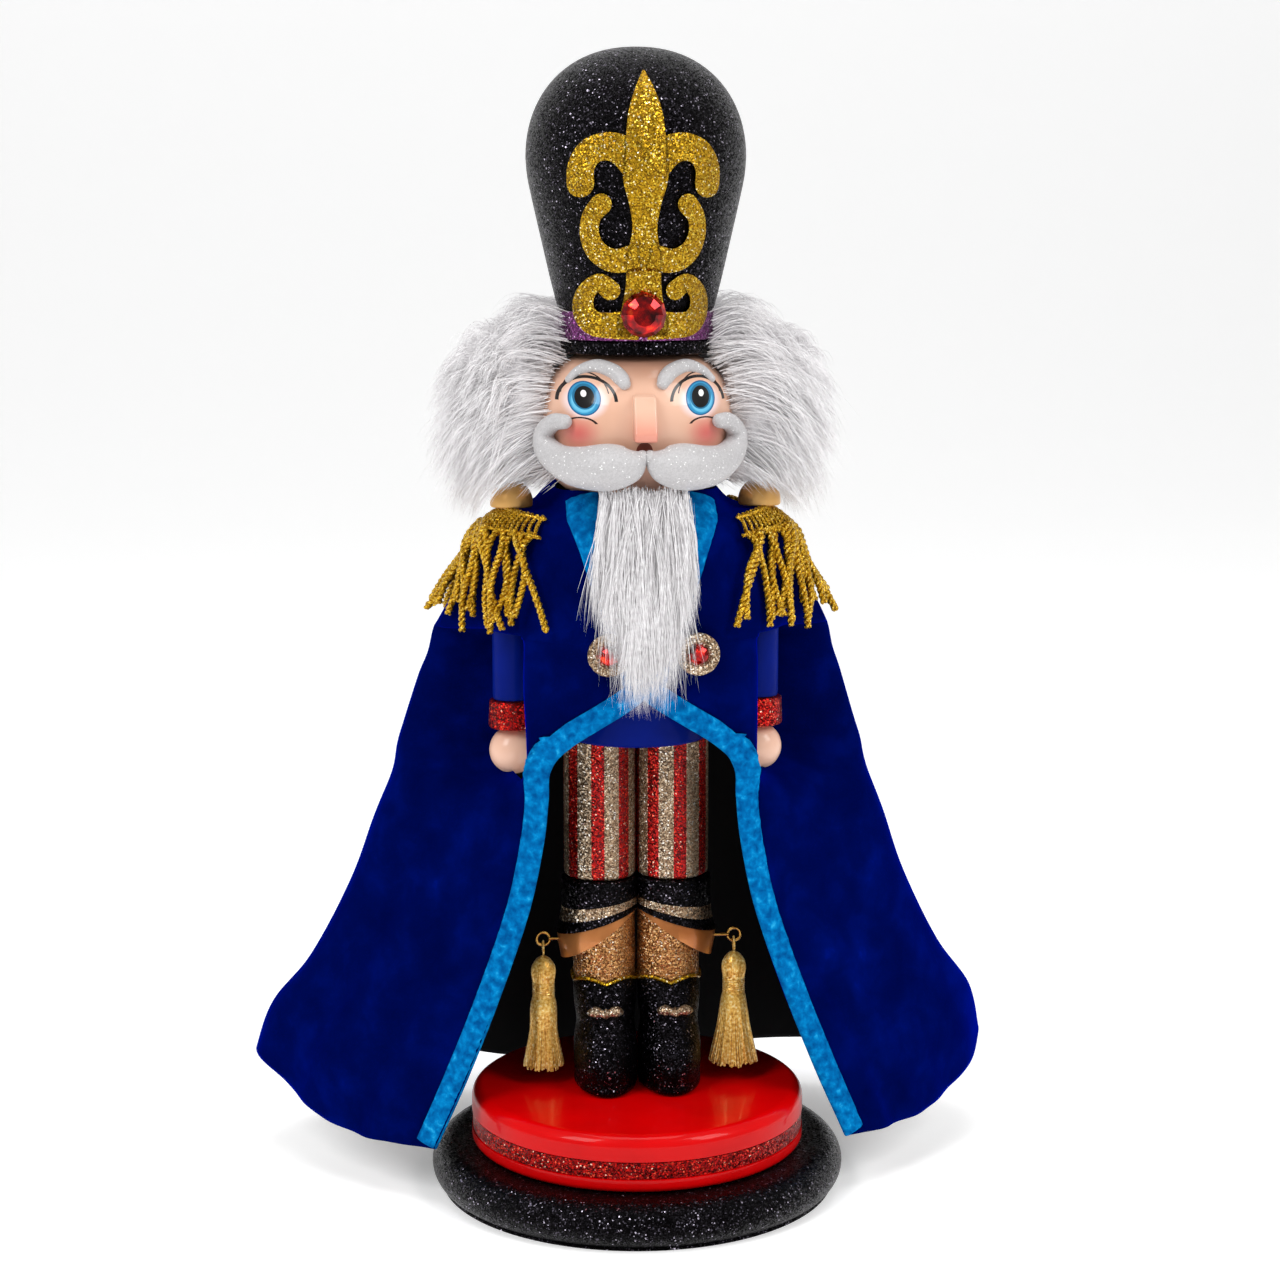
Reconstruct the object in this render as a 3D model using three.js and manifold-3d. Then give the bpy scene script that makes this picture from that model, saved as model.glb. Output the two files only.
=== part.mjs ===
// A caped nutcracker on a round two-tier stand: turned wood, cast resin, fur, velvet and bullion.
// Millimetres, +Z up. The origin is the centre of the stand's underside and the figure faces -Y.
// FIGURE_Y is where the figure's own upright axis stands, a little behind the stand's centre.

import * as THREE from "three";
import { LoftGeometry } from "three/addons/geometries/LoftGeometry.js";
import { RoundedBoxGeometry } from "three/addons/geometries/RoundedBoxGeometry.js";
import * as BufferGeometryUtils from "three/addons/utils/BufferGeometryUtils.js";
import Module from "manifold-3d";

const wasm = await Module();
wasm.setup();

// Driving dimensions

const GAP = 0.3;
const FIGURE_Y = 5;
const TURNED_SIDES = 28;
const SMALL_SIDES = 8;

const STAND = { lowerRadius: 85, lowerTop: 18, upperRadius: 68.5, upperTop: 41 };
const SCREW = { x: 15, shaft: 1.8, head: 4, top: 62 };

const LEG_X = 14.9;
const BOOT = { x: 13.2, width: 26, length: 44, toeY: -25, ankleZ: 80, shin: 12.9, top: 127.4 };
const CUFF = { top: 127.9, bottom: 94, topRadius: 15.3, bottomRadius: 18.6, peakZ: 115, slopeReach: 36.5 };
const TROUSER = { bottom: 128.2, top: 185.8, bottomRadius: 14.7, topRadius: 14.2 };
const DOWEL = { radius: 3, bottom: 112, top: 206 };

const TORSO = { bottom: 186.2, top: 283.6, grooveZ: 280.5 };
const ARM = { x: 50, radius: 8.2, bottom: 202, top: 273.5, dowelZ: 260, dowelRadius: 3 };
const SLEEVE_CUFF = { radius: 10, top: 201.7, bottom: 190 };
const HAND = { radius: 9.8, centreZ: 180.6 };
const DOME = { radius: 8.6, bottom: 279.8, rim: 2 };

const HEAD = { bottom: 286, top: 340.5 };
const PIVOT = { y: 5, z: 290, radius: 1.5 };
const LEVER_WIDTH = 13;
const SLOT_WIDTH = 14.4;
const NOSE_WIDTH = 8.8;
const WIG = { x: 58, y: 2, z: 314, width: 24, depth: 34, height: 50, overShoulderZ: 290.5 };

const HAT = { bottom: 340.9, rimTop: 346.3, bandTop: 357.5, wideZ: 417, wideRadius: 43.4, top: 459.5 };
const SCROLL = { thickness: 1.25, clear: 0.35 };
const GEM = { z: 356.7, radius: 8.8, depth: 5, backY: -34.4 };

const EYE = { left: -38.5, right: 40.5, y: -2, z: 101.5, ring: 2.7, wire: 0.65 };
const LOOP = { ring: 2.6, wire: 0.6, drop: 3.8 };
const TASSEL = { headTop: 94, bandTop: 84, bandBottom: 77.5, bottom: 47, left: 8.6, right: 10.5 };

const CAPE_THICKNESS = 1.4;
const TRIM_WIDTH = 8.5;
const ARM_SLIT = { inner: 39.5, outer: 63, front: -21.5, back: 12.2, bottom: 167.5, top: 236.8 };
const EPAULETTE = { from: 1.5, to: 4.5 };
const BUTTON = { z: 225.5, left: -14, right: 21, radius: 8.5, gem: 4.3 };

// The cape, one row of points from its front edge round to the middle of the back, from the
// collar down to the hem. Each row is mirrored to the other side. The rows from 228 to 178
// pass behind the arms, which come out through the two slits.

const CAPE_ROWS = [
  [[18, -27, 284.5], [24, -21, 284.5], [29, -13, 285], [32, 0, 286], [31, 16, 288.5], [22, 42, 295], [0, 51, 299]],
  [[17, -31, 281], [25, -27, 281], [35, -16, 280.5], [40.5, 0, 279.4], [39, 18, 281], [26, 50, 289], [0, 58, 293]],
  [[16, -34, 276], [27, -31.5, 276], [44, -15, 277.4], [52, 0, 278], [47, 20, 277], [28, 55, 281], [0, 64, 285]],
  [[14, -36.5, 268], [27, -35.5, 268], [49, -13.5, 270.5], [61.2, 0, 271], [56, 22, 270], [34, 58, 270], [0, 70, 272]],
  [[11, -37.5, 255], [26, -36.5, 255], [48, -17, 256], [62, 0, 256], [66, 20, 255], [42, 60, 255], [0, 74, 256]],
  [[3.5, -37.5, 232], [26, -36, 232], [46.5, -22, 232], [63.8, 0, 232], [79, 18, 233], [53, 64, 233], [0, 79, 233]],
  [[2.5, -37.5, 228], [25, -36, 228], [46, -23, 228], [50, 13.5, 228], [82, 18, 228], [55, 66, 228], [0, 80, 228]],
  [[0.5, -37.5, 218], [23, -36, 218], [46, -25, 218], [50, 13.5, 218], [84, 18, 218], [58, 68, 218], [0, 83, 218]],
  [[0.8, -37.5, 207], [25, -35.5, 207], [46, -26, 207], [50, 13.5, 207], [88, 20, 207], [62, 72, 207], [0, 86, 207]],
  [[29, -34.5, 188], [38, -31, 188], [46, -26.5, 188], [50, 13.5, 188], [94, 22, 188], [68, 76, 188], [0, 90, 188]],
  [[37, -31, 178], [42, -29.5, 178], [46.5, -26.5, 178], [50, 13.5, 178], [97, 24, 178], [72, 80, 178], [0, 92, 178]],
  [[38, -30.5, 166], [44, -28, 166], [50, -24, 166], [67, -4, 166], [100, 25, 166], [74, 82, 166], [0, 94, 166]],
  [[40, -30, 148], [49, -26, 148], [61, -18, 148], [79, -3, 148], [107, 26, 148], [78, 84, 148], [0, 96, 148]],
  [[46, -29.5, 120], [58, -24, 120], [73, -15, 120], [93, 0, 120], [117, 32, 120], [84, 87, 120], [0, 100, 120]],
  [[58, -30, 85], [74, -23, 84], [92, -12, 84], [113, 6, 85], [134, 40, 86], [93, 92, 80], [0, 103, 78]],
  [[71, -30, 52], [90, -22, 52], [110, -9, 52], [131, 12, 56], [150, 48, 64], [100, 96, 50], [0, 106, 45]],
  [[84, -30, 23], [103, -18, 22], [122, 0, 22], [141, 22, 28], [157, 58, 42], [104, 99, 26], [0, 110, 14]],
];

// Solids

function outward(geometry) {
  const bare = new THREE.BufferGeometry();
  bare.setAttribute("position", geometry.getAttribute("position"));
  if (geometry.index) bare.setIndex(geometry.index);
  const merged = BufferGeometryUtils.mergeVertices(bare, 1e-4);
  const position = merged.getAttribute("position");
  const index = Array.from(merged.index.array);
  const [a, b, c] = [new THREE.Vector3(), new THREE.Vector3(), new THREE.Vector3()];
  const faces = [];
  let volume = 0;
  for (let i = 0; i < index.length; i += 3) {
    const [p, q, r] = [index[i], index[i + 1], index[i + 2]];
    if (p === q || q === r || r === p) continue;
    a.fromBufferAttribute(position, p);
    b.fromBufferAttribute(position, q);
    c.fromBufferAttribute(position, r);
    volume += a.dot(b.cross(c));
    faces.push([p, q, r]);
  }
  merged.setIndex((volume < 0 ? faces.map(([p, q, r]) => [p, r, q]) : faces).flat());
  return merged;
}

function solid(geometry) {
  const closed = outward(geometry);
  const vertProperties = new Float32Array(closed.getAttribute("position").array);
  const triVerts = new Uint32Array(closed.index.array);
  return new wasm.Manifold(new wasm.Mesh({ numProp: 3, vertProperties, triVerts }));
}

function geometryOf(manifold) {
  const mesh = manifold.getMesh();
  const geometry = new THREE.BufferGeometry();
  geometry.setAttribute("position", new THREE.BufferAttribute(mesh.vertProperties, 3));
  geometry.setIndex(new THREE.BufferAttribute(mesh.triVerts, 1));
  geometry.computeVertexNormals();
  return geometry;
}

function turned(profile, sides = TURNED_SIDES) {
  const points = profile.map(([radius, z]) => new THREE.Vector2(radius, z));
  return new THREE.LatheGeometry(points, sides).rotateX(Math.PI / 2);
}

function rod(radius, from, to, sides = SMALL_SIDES) {
  const start = new THREE.Vector3(...from);
  const along = new THREE.Vector3(...to).sub(start);
  const geometry = new THREE.CylinderGeometry(radius, radius, along.length(), sides);
  geometry.translate(0, along.length() / 2, 0);
  const turn = new THREE.Quaternion().setFromUnitVectors(new THREE.Vector3(0, 1, 0), along.normalize());
  geometry.applyQuaternion(turn);
  return geometry.translate(start.x, start.y, start.z);
}

function box(low, high) {
  const size = high.map((value, axis) => value - low[axis]);
  return new THREE.BoxGeometry(...size).translate(...low.map((value, axis) => value + size[axis] / 2));
}

// Turns a shape drawn in (y, z) and pushed along z so that its thickness runs along x.
const SIDEWAYS = new THREE.Matrix4().set(0, 0, 1, 0, 1, 0, 0, 0, 0, 1, 0, 0, 0, 0, 0, 1);

function slab(outline, width) {
  const shape = new THREE.Shape(outline.map(([y, z]) => new THREE.Vector2(y, z)));
  const geometry = new THREE.ExtrudeGeometry(shape, { depth: width, bevelEnabled: false });
  return geometry.applyMatrix4(SIDEWAYS).translate(-width / 2, 0, 0);
}

function arc(centreRadius, centreZ, radius, from, to, steps) {
  return Array.from({ length: steps + 1 }, (_, i) => {
    const angle = THREE.MathUtils.degToRad(from + ((to - from) * i) / steps);
    return [centreRadius + radius * Math.cos(angle), centreZ + radius * Math.sin(angle)];
  });
}

// A tapered body along a curve: round or flattened sections, closed at both ends.
function horn(points, widths, depths = widths, steps = 10, sides = 8) {
  const curve = new THREE.CatmullRomCurve3(points.map((point) => new THREE.Vector3(...point)));
  const size = (list, t) => {
    const place = t * (list.length - 1);
    const before = Math.min(Math.floor(place), list.length - 2);
    return THREE.MathUtils.lerp(list[before], list[before + 1], place - before);
  };
  const sections = Array.from({ length: steps + 1 }, (_, i) => {
    const t = i / steps;
    const centre = curve.getPoint(t);
    const along = curve.getTangent(t);
    const across = new THREE.Vector3(0, -1, 0).cross(along).normalize();
    const out = along.clone().cross(across).normalize();
    return Array.from({ length: sides }, (_, k) => {
      const angle = (2 * Math.PI * k) / sides;
      const point = centre.clone().addScaledVector(across, size(widths, t) * Math.cos(angle));
      return point.addScaledVector(out, size(depths, t) * Math.sin(angle));
    });
  });
  return new LoftGeometry(sections, { capStart: true, capEnd: true });
}

// A thin closed sheet: each section runs out along one face and back along the other.
function sheet(sections) {
  const middle = (ring) => ring.map((point, i) => point.clone().lerp(ring[ring.length - 1 - i], 0.5));
  return new LoftGeometry([middle(sections[0]), ...sections, middle(sections.at(-1))]);
}

// The assembly, built up piece by piece

const nutcracker = new THREE.Group();
const stand = new THREE.Group();
const figure = new THREE.Group();
figure.position.y = FIGURE_Y;
nutcracker.add(stand, figure);

const PAINT = {
  blackGlitter: { color: 0x221c21, roughness: 0.6, metalness: 0.2 },
  redLacquer: { color: 0xce0103, roughness: 0.12, metalness: 0 },
  redGlitter: { color: 0x8f1818, roughness: 0.45, metalness: 0.4 },
  goldGlitter: { color: 0x99770f, roughness: 0.45, metalness: 0.6 },
  champagne: { color: 0x916a4f, roughness: 0.45, metalness: 0.6 },
  purpleGlitter: { color: 0x83437e, roughness: 0.5, metalness: 0.3 },
  flesh: { color: 0xf1c0aa, roughness: 0.25, metalness: 0 },
  white: { color: 0xd8d6d7, roughness: 0.7, metalness: 0 },
  fur: { color: 0xd6d3d6, roughness: 0.9, metalness: 0 },
  blue: { color: 0x01175f, roughness: 0.4, metalness: 0 },
  velvet: { color: 0x010b4c, roughness: 0.95, metalness: 0 },
  turquoise: { color: 0x0372c1, roughness: 0.8, metalness: 0 },
  satinGold: { color: 0xc89b5e, roughness: 0.4, metalness: 0.7 },
  bullion: { color: 0xa26e19, roughness: 0.35, metalness: 0.8 },
  thread: { color: 0xc69c4e, roughness: 0.5, metalness: 0.2 },
  ruby: { color: 0xb00008, roughness: 0.05, metalness: 0 },
  wood: { color: 0xcaa472, roughness: 0.7, metalness: 0 },
  steel: { color: 0xa8a9ad, roughness: 0.35, metalness: 1 },
  brass: { color: 0xb98a35, roughness: 0.3, metalness: 1 },
};

function piece(name, geometry, paint, group = figure) {
  const shown = geometry instanceof wasm.Manifold ? geometryOf(geometry) : outward(geometry);
  const mesh = new THREE.Mesh(shown, new THREE.MeshStandardMaterial(PAINT[paint]));
  mesh.name = name;
  group.add(mesh);
  return mesh;
}

const SIDES = [["left", -1], ["right", 1]];

// Stand: a black glittered plinth, a red lacquered disc and the screws up into the boots.

function buildStand() {
  const { lowerRadius, lowerTop, upperRadius, upperTop } = STAND;
  const round = lowerTop / 2;
  const plinth = [[0, 0], ...arc(lowerRadius - round, round, round, -90, 90, 6), [0, lowerTop]];
  const discBottom = lowerTop + GAP;
  const shoulder = 10;
  const disc = [
    [0, discBottom],
    ...arc(upperRadius - 4.5, discBottom + 4.5, 4.5, -90, 0, 3),
    ...arc(upperRadius - shoulder, upperTop - shoulder, shoulder, 0, 90, 5),
    [0, upperTop],
  ];
  let lower = solid(turned(plinth));
  let upper = solid(turned(disc));
  for (const [side, sign] of SIDES) {
    const x = sign * SCREW.x;
    const bore = solid(rod(SCREW.shaft + GAP, [x, FIGURE_Y, -1], [x, FIGURE_Y, upperTop + 1]));
    const recess = solid(rod(SCREW.head + GAP, [x, FIGURE_Y, -1], [x, FIGURE_Y, 5]));
    lower = lower.subtract(bore).subtract(recess);
    upper = upper.subtract(bore);
    const head = solid(rod(SCREW.head, [x, FIGURE_Y, 1.5], [x, FIGURE_Y, 4.6]));
    const shaft = solid(rod(SCREW.shaft, [x, FIGURE_Y, 4], [x, FIGURE_Y, SCREW.top]));
    piece(`base_screw_${side}`, head.add(shaft), "steel", stand);
  }
  piece("base_lower", lower, "blackGlitter", stand);
  piece("base_upper", upper, "redLacquer", stand);
}

// Legs: shoes with their shins, buckles, flared boot cuffs, trouser legs and the dowels inside.

// Everything below a slope that falls from the peak between the legs to a leg's outer side.
function cuffCutter(sign) {
  const { peakZ, bottom, slopeReach } = CUFF;
  const below = bottom - 34;
  const outline = [[0, peakZ], [slopeReach, bottom], [slopeReach, below], [0, below]];
  const shape = new THREE.Shape(outline.map(([x, z]) => new THREE.Vector2(x, z)));
  const geometry = new THREE.ExtrudeGeometry(shape, { depth: 60, bevelEnabled: false });
  return solid(geometry.rotateX(Math.PI / 2).translate(0, 30, 0).scale(sign, 1, 1));
}

function buildLeg(side, sign) {
  const x = sign * LEG_X;
  const bootX = sign * BOOT.x;
  const { width, length, toeY, ankleZ, shin, top } = BOOT;
  const soleZ = STAND.upperTop + GAP;
  const bevel = 5;
  const heelY = toeY + length;
  const last = [
    [toeY + bevel, soleZ + bevel],
    [heelY - bevel, soleZ + bevel],
    [heelY - bevel, ankleZ - bevel],
    [-6, ankleZ - bevel],
    [toeY + 10, soleZ + 20],
    [toeY + bevel + 1, soleZ + 14],
  ];
  const outline = new THREE.Shape(last.map(([y, z]) => new THREE.Vector2(y, z)));
  const shoe = new THREE.ExtrudeGeometry(outline, {
    depth: width - 2 * bevel,
    bevelThickness: bevel,
    bevelSize: bevel,
    bevelSegments: 3,
  });
  shoe.applyMatrix4(SIDEWAYS).translate(bootX - (width - 2 * bevel) / 2, 0, 0);
  const shaft = turned([[0, 60], [shin, 60], [shin, top], [0, top]], 20).translate(bootX, 0, 0);
  const screwHole = rod(SCREW.shaft + GAP, [sign * SCREW.x, 0, 30], [sign * SCREW.x, 0, SCREW.top + 2]);
  const dowelHole = rod(DOWEL.radius + GAP, [x, 0, DOWEL.bottom - 1], [x, 0, top + 5]);
  const boot = solid(shoe).add(solid(shaft)).subtract(solid(screwHole)).subtract(solid(dowelHole));
  piece(`boot_${side}`, boot, "blackGlitter");

  const buckle = new RoundedBoxGeometry(12.5, 2, 3.6, 1, 0.8).rotateX(THREE.MathUtils.degToRad(-52));
  piece(`boot_buckle_${side}`, buckle.translate(bootX + sign, -17, 75), "goldGlitter");

  const { topRadius, bottomRadius } = CUFF;
  const flare = [
    [0, CUFF.bottom - 2],
    [bottomRadius, CUFF.bottom - 2],
    [bottomRadius, 104],
    [topRadius + 0.6, 112],
    [topRadius + 0.6, CUFF.top - 2],
    [topRadius - 0.6, CUFF.top],
    [0, CUFF.top],
  ];
  const shinHole = turned([[0, 50], [shin + GAP, 50], [shin + GAP, 200], [0, 200]], 20).translate(bootX, 0, 0);
  const otherSide = box([-60, -60, 50], [GAP / 2 + 0.05, 60, 200]).scale(sign, 1, 1);
  const eyeHole = rod(EYE.wire + GAP, [sign * 60, EYE.y, EYE.z], [sign * (shin + BOOT.x - 2), EYE.y, EYE.z], 10);
  const cuff = solid(turned(flare, 20).translate(x, 0, 0)).subtract(solid(shinHole)).subtract(solid(otherSide));
  piece(`boot_cuff_${side}`, cuff.subtract(cuffCutter(sign)).subtract(solid(eyeHole)), "blackGlitter");

  const bore = DOWEL.radius + GAP;
  const trouser = turned(
    [
      [bore, TROUSER.bottom],
      [TROUSER.bottomRadius - 1, TROUSER.bottom],
      [TROUSER.bottomRadius, TROUSER.bottom + 2],
      [TROUSER.bottomRadius, 150],
      [TROUSER.topRadius, TROUSER.top],
      [bore, TROUSER.top],
      [bore, TROUSER.bottom],
    ],
    20,
  );
  piece(`trouser_leg_${side}`, trouser.translate(x, 0, 0), "champagne");
  piece(`leg_dowel_${side}`, rod(DOWEL.radius, [x, 0, DOWEL.bottom], [x, 0, DOWEL.top]), "wood");
}

// Torso, with holes for the leg and arm dowels and a groove for the lever to drop into.

function buildTorso() {
  const { bottom, top, grooveZ } = TORSO;
  const profile = [
    [0, bottom],
    [29, bottom],
    [30, bottom + 2],
    [31.5, 230],
    [34, 255],
    [34.5, 266],
    [31, 275],
    [25, 281],
    [22, top],
    [0, top],
  ];
  let body = solid(turned(profile));
  for (const [, sign] of SIDES) {
    const x = sign * LEG_X;
    body = body.subtract(solid(rod(DOWEL.radius + GAP, [x, 0, 150], [x, 0, DOWEL.top + 1])));
    const z = ARM.dowelZ;
    body = body.subtract(solid(rod(ARM.dowelRadius + GAP, [sign * 25, 0, z], [sign * 60, 0, z])));
  }
  const groove = [[-60, 268], [-60, 300], [60, 300], [60, grooveZ], [2, grooveZ], [-30, 272]];
  piece("torso", body.subtract(solid(slab(groove, SLOT_WIDTH))), "blue");
}

// Arms hang straight down from their shoulder dowels, with glittered cuffs and ball hands.

function buildArm(side, sign) {
  const arm = new THREE.Group();
  arm.position.x = sign * ARM.x;
  figure.add(arm);
  const { radius, bottom, top, dowelZ, dowelRadius } = ARM;
  const sleeve = turned([[0, bottom], [radius, bottom], ...arc(radius - 7, top - 7, 7, 0, 90, 3), [0, top]], 16);
  const hole = rod(dowelRadius + GAP, [sign * -20, 0, dowelZ], [sign * 1, 0, dowelZ]);
  piece(`arm_${side}`, solid(sleeve).subtract(solid(hole)), "blue", arm);
  piece(`arm_dowel_${side}`, rod(dowelRadius, [sign * -24, 0, dowelZ], [sign * 0.5, 0, dowelZ]), "wood", arm);

  const cuff = turned(
    [
      [0, SLEEVE_CUFF.bottom],
      [SLEEVE_CUFF.radius - 0.8, SLEEVE_CUFF.bottom],
      [SLEEVE_CUFF.radius, SLEEVE_CUFF.bottom + 1],
      [SLEEVE_CUFF.radius - 0.4, SLEEVE_CUFF.top - 1],
      [SLEEVE_CUFF.radius - 1.2, SLEEVE_CUFF.top],
      [0, SLEEVE_CUFF.top],
    ],
    20,
  );
  piece(`sleeve_cuff_${side}`, cuff, "redGlitter", arm);

  const flat = SLEEVE_CUFF.bottom - GAP;
  const cutAngle = THREE.MathUtils.radToDeg(Math.asin((flat - HAND.centreZ) / HAND.radius));
  const ball = turned([...arc(0, HAND.centreZ, HAND.radius, -90, cutAngle, 6), [0, flat]], 16);
  piece(`hand_${side}`, ball, "flesh", arm);

  const edge = DOME.bottom + DOME.rim;
  const dome = [[0, DOME.bottom], [DOME.radius, DOME.bottom], [DOME.radius, edge]];
  dome.push(...arc(0, edge, DOME.radius, 30, 90, 3));
  piece(`shoulder_dome_${side}`, turned(dome, 16), "satinGold", arm);
}

// Head: one turned ball with the lever's slot cut across its underside.

function headProfile(offset = 0) {
  return [
    [0, HEAD.bottom - offset],
    [26 + offset, HEAD.bottom - offset],
    [31 + offset, 290],
    [35 + offset, 296],
    [38.3 + offset, 304],
    [39.6 + offset, 314],
    [38 + offset, 324],
    [33.5 + offset, 332],
    [28 + offset, 338],
    [24 + offset, HEAD.top],
    [0, HEAD.top],
  ];
}

const headSpace = solid(turned(headProfile(GAP)));

function faceY(x, z) {
  const profile = headProfile();
  const above = profile.findIndex(([, height], i) => i > 1 && height >= z);
  const [lowRadius, lowZ] = profile[above - 1];
  const [highRadius, highZ] = profile[above];
  const radius = THREE.MathUtils.mapLinear(z, lowZ, highZ, lowRadius, highRadius);
  return -Math.sqrt(radius * radius - x * x);
}

function buildHead() {
  const [slotZ, chinSlotZ] = [296.5, 300.4];
  const slot = [[-60, 270], [-60, chinSlotZ], [-19, chinSlotZ], [-19, slotZ], [PIVOT.y, slotZ], [60, 309], [60, 270]];
  const pinHole = rod(PIVOT.radius + GAP, [-30, PIVOT.y, PIVOT.z], [30, PIVOT.y, PIVOT.z]);
  const ball = solid(turned(headProfile())).subtract(solid(slab(slot, SLOT_WIDTH)));
  piece("head", ball.subtract(solid(pinHole)), "flesh");

  const wedge = [[-36, 327], [-41.5, 325.5], [-48, 311.5], [-47, 308.4], [-36, 308.4]];
  piece("nose", solid(slab(wedge, NOSE_WIDTH)).subtract(headSpace), "flesh");

  for (const [side, sign] of SIDES) {
    const lip = [
      [1.5, -45.5, 302],
      [7, -46, 300],
      [15, -43, 299],
      [27, -35, 299.5],
      [36, -24, 304.5],
      [37.5, -21, 311],
      [33, -26.5, 315.5],
      [28.5, -31, 315],
    ];
    const thick = [3, 7.4, 9.2, 8, 5.4, 4, 3.2, 2.6];
    const swoosh = horn(lip.map(([x, y, z]) => [sign * x, y, z]), thick, thick, 10, 10);
    const half = box([-40, -80, 270], [GAP + 0.1, 0, 330]).scale(sign, 1, 1);
    piece(`moustache_${side}`, solid(swoosh).subtract(headSpace).subtract(solid(half)), "white");

    const arch = [[28, 331.5], [23.5, 335], [17, 336.8], [11, 334], [7, 330.6]];
    const brow = arch.map(([x, z]) => [sign * x, faceY(x, z) - 1.3, z]);
    const hairs = horn(brow, [1.6, 2.2, 2.8, 2.5, 1.9], undefined, 6, 8);
    piece(`brow_${side}`, solid(hairs).subtract(headSpace), "white");
  }
}

// Hair: two side wigs and the part round the back of the head.

function wigLobe(sign, grow = 0) {
  const lobe = new THREE.SphereGeometry(1, 14, 9).rotateX(Math.PI / 2);
  lobe.scale(WIG.width + grow, WIG.depth + grow, WIG.height + grow);
  return solid(lobe.translate(sign * WIG.x, WIG.y, WIG.z));
}

function buildHair() {
  const overShoulder = solid(box([-67, -60, 200], [67, 90, WIG.overShoulderZ]));
  const cheeks = solid(box([-43, -60, 280], [43, -11, 325]));
  for (const [side, sign] of SIDES) {
    const lobe = wigLobe(sign).subtract(headSpace).subtract(overShoulder).subtract(cheeks);
    piece(`hair_${side}`, lobe, "fur");
  }
  const ring = turned([[40.6, 304], [50, 303.5], [56, 315], [55, 335], [46, 349], [40.6, 349], [40.6, 304]], 28);
  const front = solid(box([-90, -90, 290], [90, 14, 360]));
  const back = solid(ring).subtract(front).subtract(wigLobe(-1, 0.5)).subtract(wigLobe(1, 0.5));
  piece("hair_back", back, "fur");
}

// Hat: rim, ribbon band, tall crown, the gold scroll laid on its front and the stone.

function crownProfile(offset = 0) {
  const { bandTop, wideZ, wideRadius, top } = HAT;
  const dome = Array.from({ length: 9 }, (_, i) => {
    const angle = (Math.PI / 2) * (i / 8);
    const radius = wideRadius * Math.pow(Math.cos(angle), 0.9) + offset;
    return [i === 8 ? 0 : radius, wideZ + (top - wideZ) * Math.pow(Math.sin(angle), 0.95) + (i ? offset : 0)];
  });
  return [[30.8 + offset, bandTop + GAP], [36.7 + offset, 382], [41.2 + offset, 401], [43 + offset, 410], ...dome];
}

function stroke(points, widths) {
  const curve = new THREE.SplineCurve(points.map(([x, z]) => new THREE.Vector2(x, z)));
  const steps = 2 * (points.length - 1);
  const [near, far] = [[], []];
  for (let i = 0; i <= steps; i++) {
    const t = i / steps;
    const place = Math.min(t * (widths.length - 1), widths.length - 1.001);
    const half = THREE.MathUtils.lerp(widths[Math.floor(place)], widths[Math.floor(place) + 1], place % 1) / 2;
    const centre = curve.getPoint(t);
    const along = curve.getTangent(t);
    near.push(new THREE.Vector2(centre.x - along.y * half, centre.y + along.x * half));
    far.unshift(new THREE.Vector2(centre.x + along.y * half, centre.y - along.x * half));
  }
  const outline = new THREE.Shape([...near, ...far]);
  const geometry = new THREE.ExtrudeGeometry(outline, { depth: 60, bevelEnabled: false });
  return solid(geometry.rotateX(Math.PI / 2));
}

function buildHat() {
  const { bottom, rimTop, bandTop } = HAT;
  const core = 28.6;
  const crown = solid(turned([[0, rimTop + GAP], [core, rimTop + GAP], [core, bandTop + GAP], ...crownProfile()]));
  piece("hat_crown", crown, "blackGlitter");
  const ribbon = [
    [core + GAP, rimTop + GAP],
    [30.6, rimTop + GAP],
    [31.3, bandTop],
    [core + GAP, bandTop],
    [core + GAP, rimTop + GAP],
  ];
  piece("hat_band", turned(ribbon), "purpleGlitter");
  const rim = [[0, bottom], [29.2, bottom], [29.8, bottom + 0.8], [29.8, rimTop], [0, rimTop]];
  piece("hat_rim", turned(rim), "blackGlitter");

  const skin = (offset) => {
    const ribbonSide = [[0, rimTop + 0.6], [30.6 + offset, rimTop + 0.6], [31.3 + offset, bandTop]];
    return solid(turned([...ribbonSide, ...crownProfile(offset)]));
  };
  const spear = [[0, 448], [0, 432], [0, 418], [0, 404], [0, 388], [0, 368], [0, 350]];
  let scroll = stroke(spear, [0.6, 12, 14.5, 11, 9.8, 12.4, 16]);
  const curls = [
    { line: [[2, 404], [9, 418], [19, 422.5], [25, 416], [25.6, 408], [24, 402.5]], widths: [8, 9, 7.5, 7, 6, 5] },
    { line: [[2, 374], [13, 378.5], [20, 386], [20.5, 394], [16.5, 400.5]], widths: [8, 7.5, 6, 5.4, 4.6] },
    {
      line: [[2, 350.5], [15, 349.5], [22.5, 356], [23.5, 365], [18, 371.5], [11.5, 365.5]],
      widths: [7, 7, 6, 5.4, 5, 4],
    },
  ];
  const ends = [[23.4, 402.6, 3.8], [15.6, 401.2, 3.8], [10.8, 364.6, 3.2]];
  for (const [, sign] of SIDES) {
    for (const { line, widths } of curls) {
      scroll = scroll.add(stroke(line.map(([x, z]) => [sign * x, z]), widths));
    }
    for (const [x, z, radius] of ends) {
      scroll = scroll.add(solid(rod(radius, [sign * x, 0, z], [sign * x, -60, z], 10)));
    }
  }
  const front = solid(box([-60, -80, 330], [60, 0, 470]));
  const laid = scroll.intersect(skin(SCROLL.clear + SCROLL.thickness)).subtract(skin(SCROLL.clear));
  piece("hat_ornament", laid.intersect(front), "goldGlitter");

  const { radius, depth, z, backY } = GEM;
  const cut = turned([[0, 0], [radius * 0.86, 0], [radius, 1.4], [radius * 0.55, depth], [0, depth]], 10);
  piece("hat_gem", cut.rotateX(Math.PI / 2).translate(0, backY, z), "ruby");
}

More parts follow.
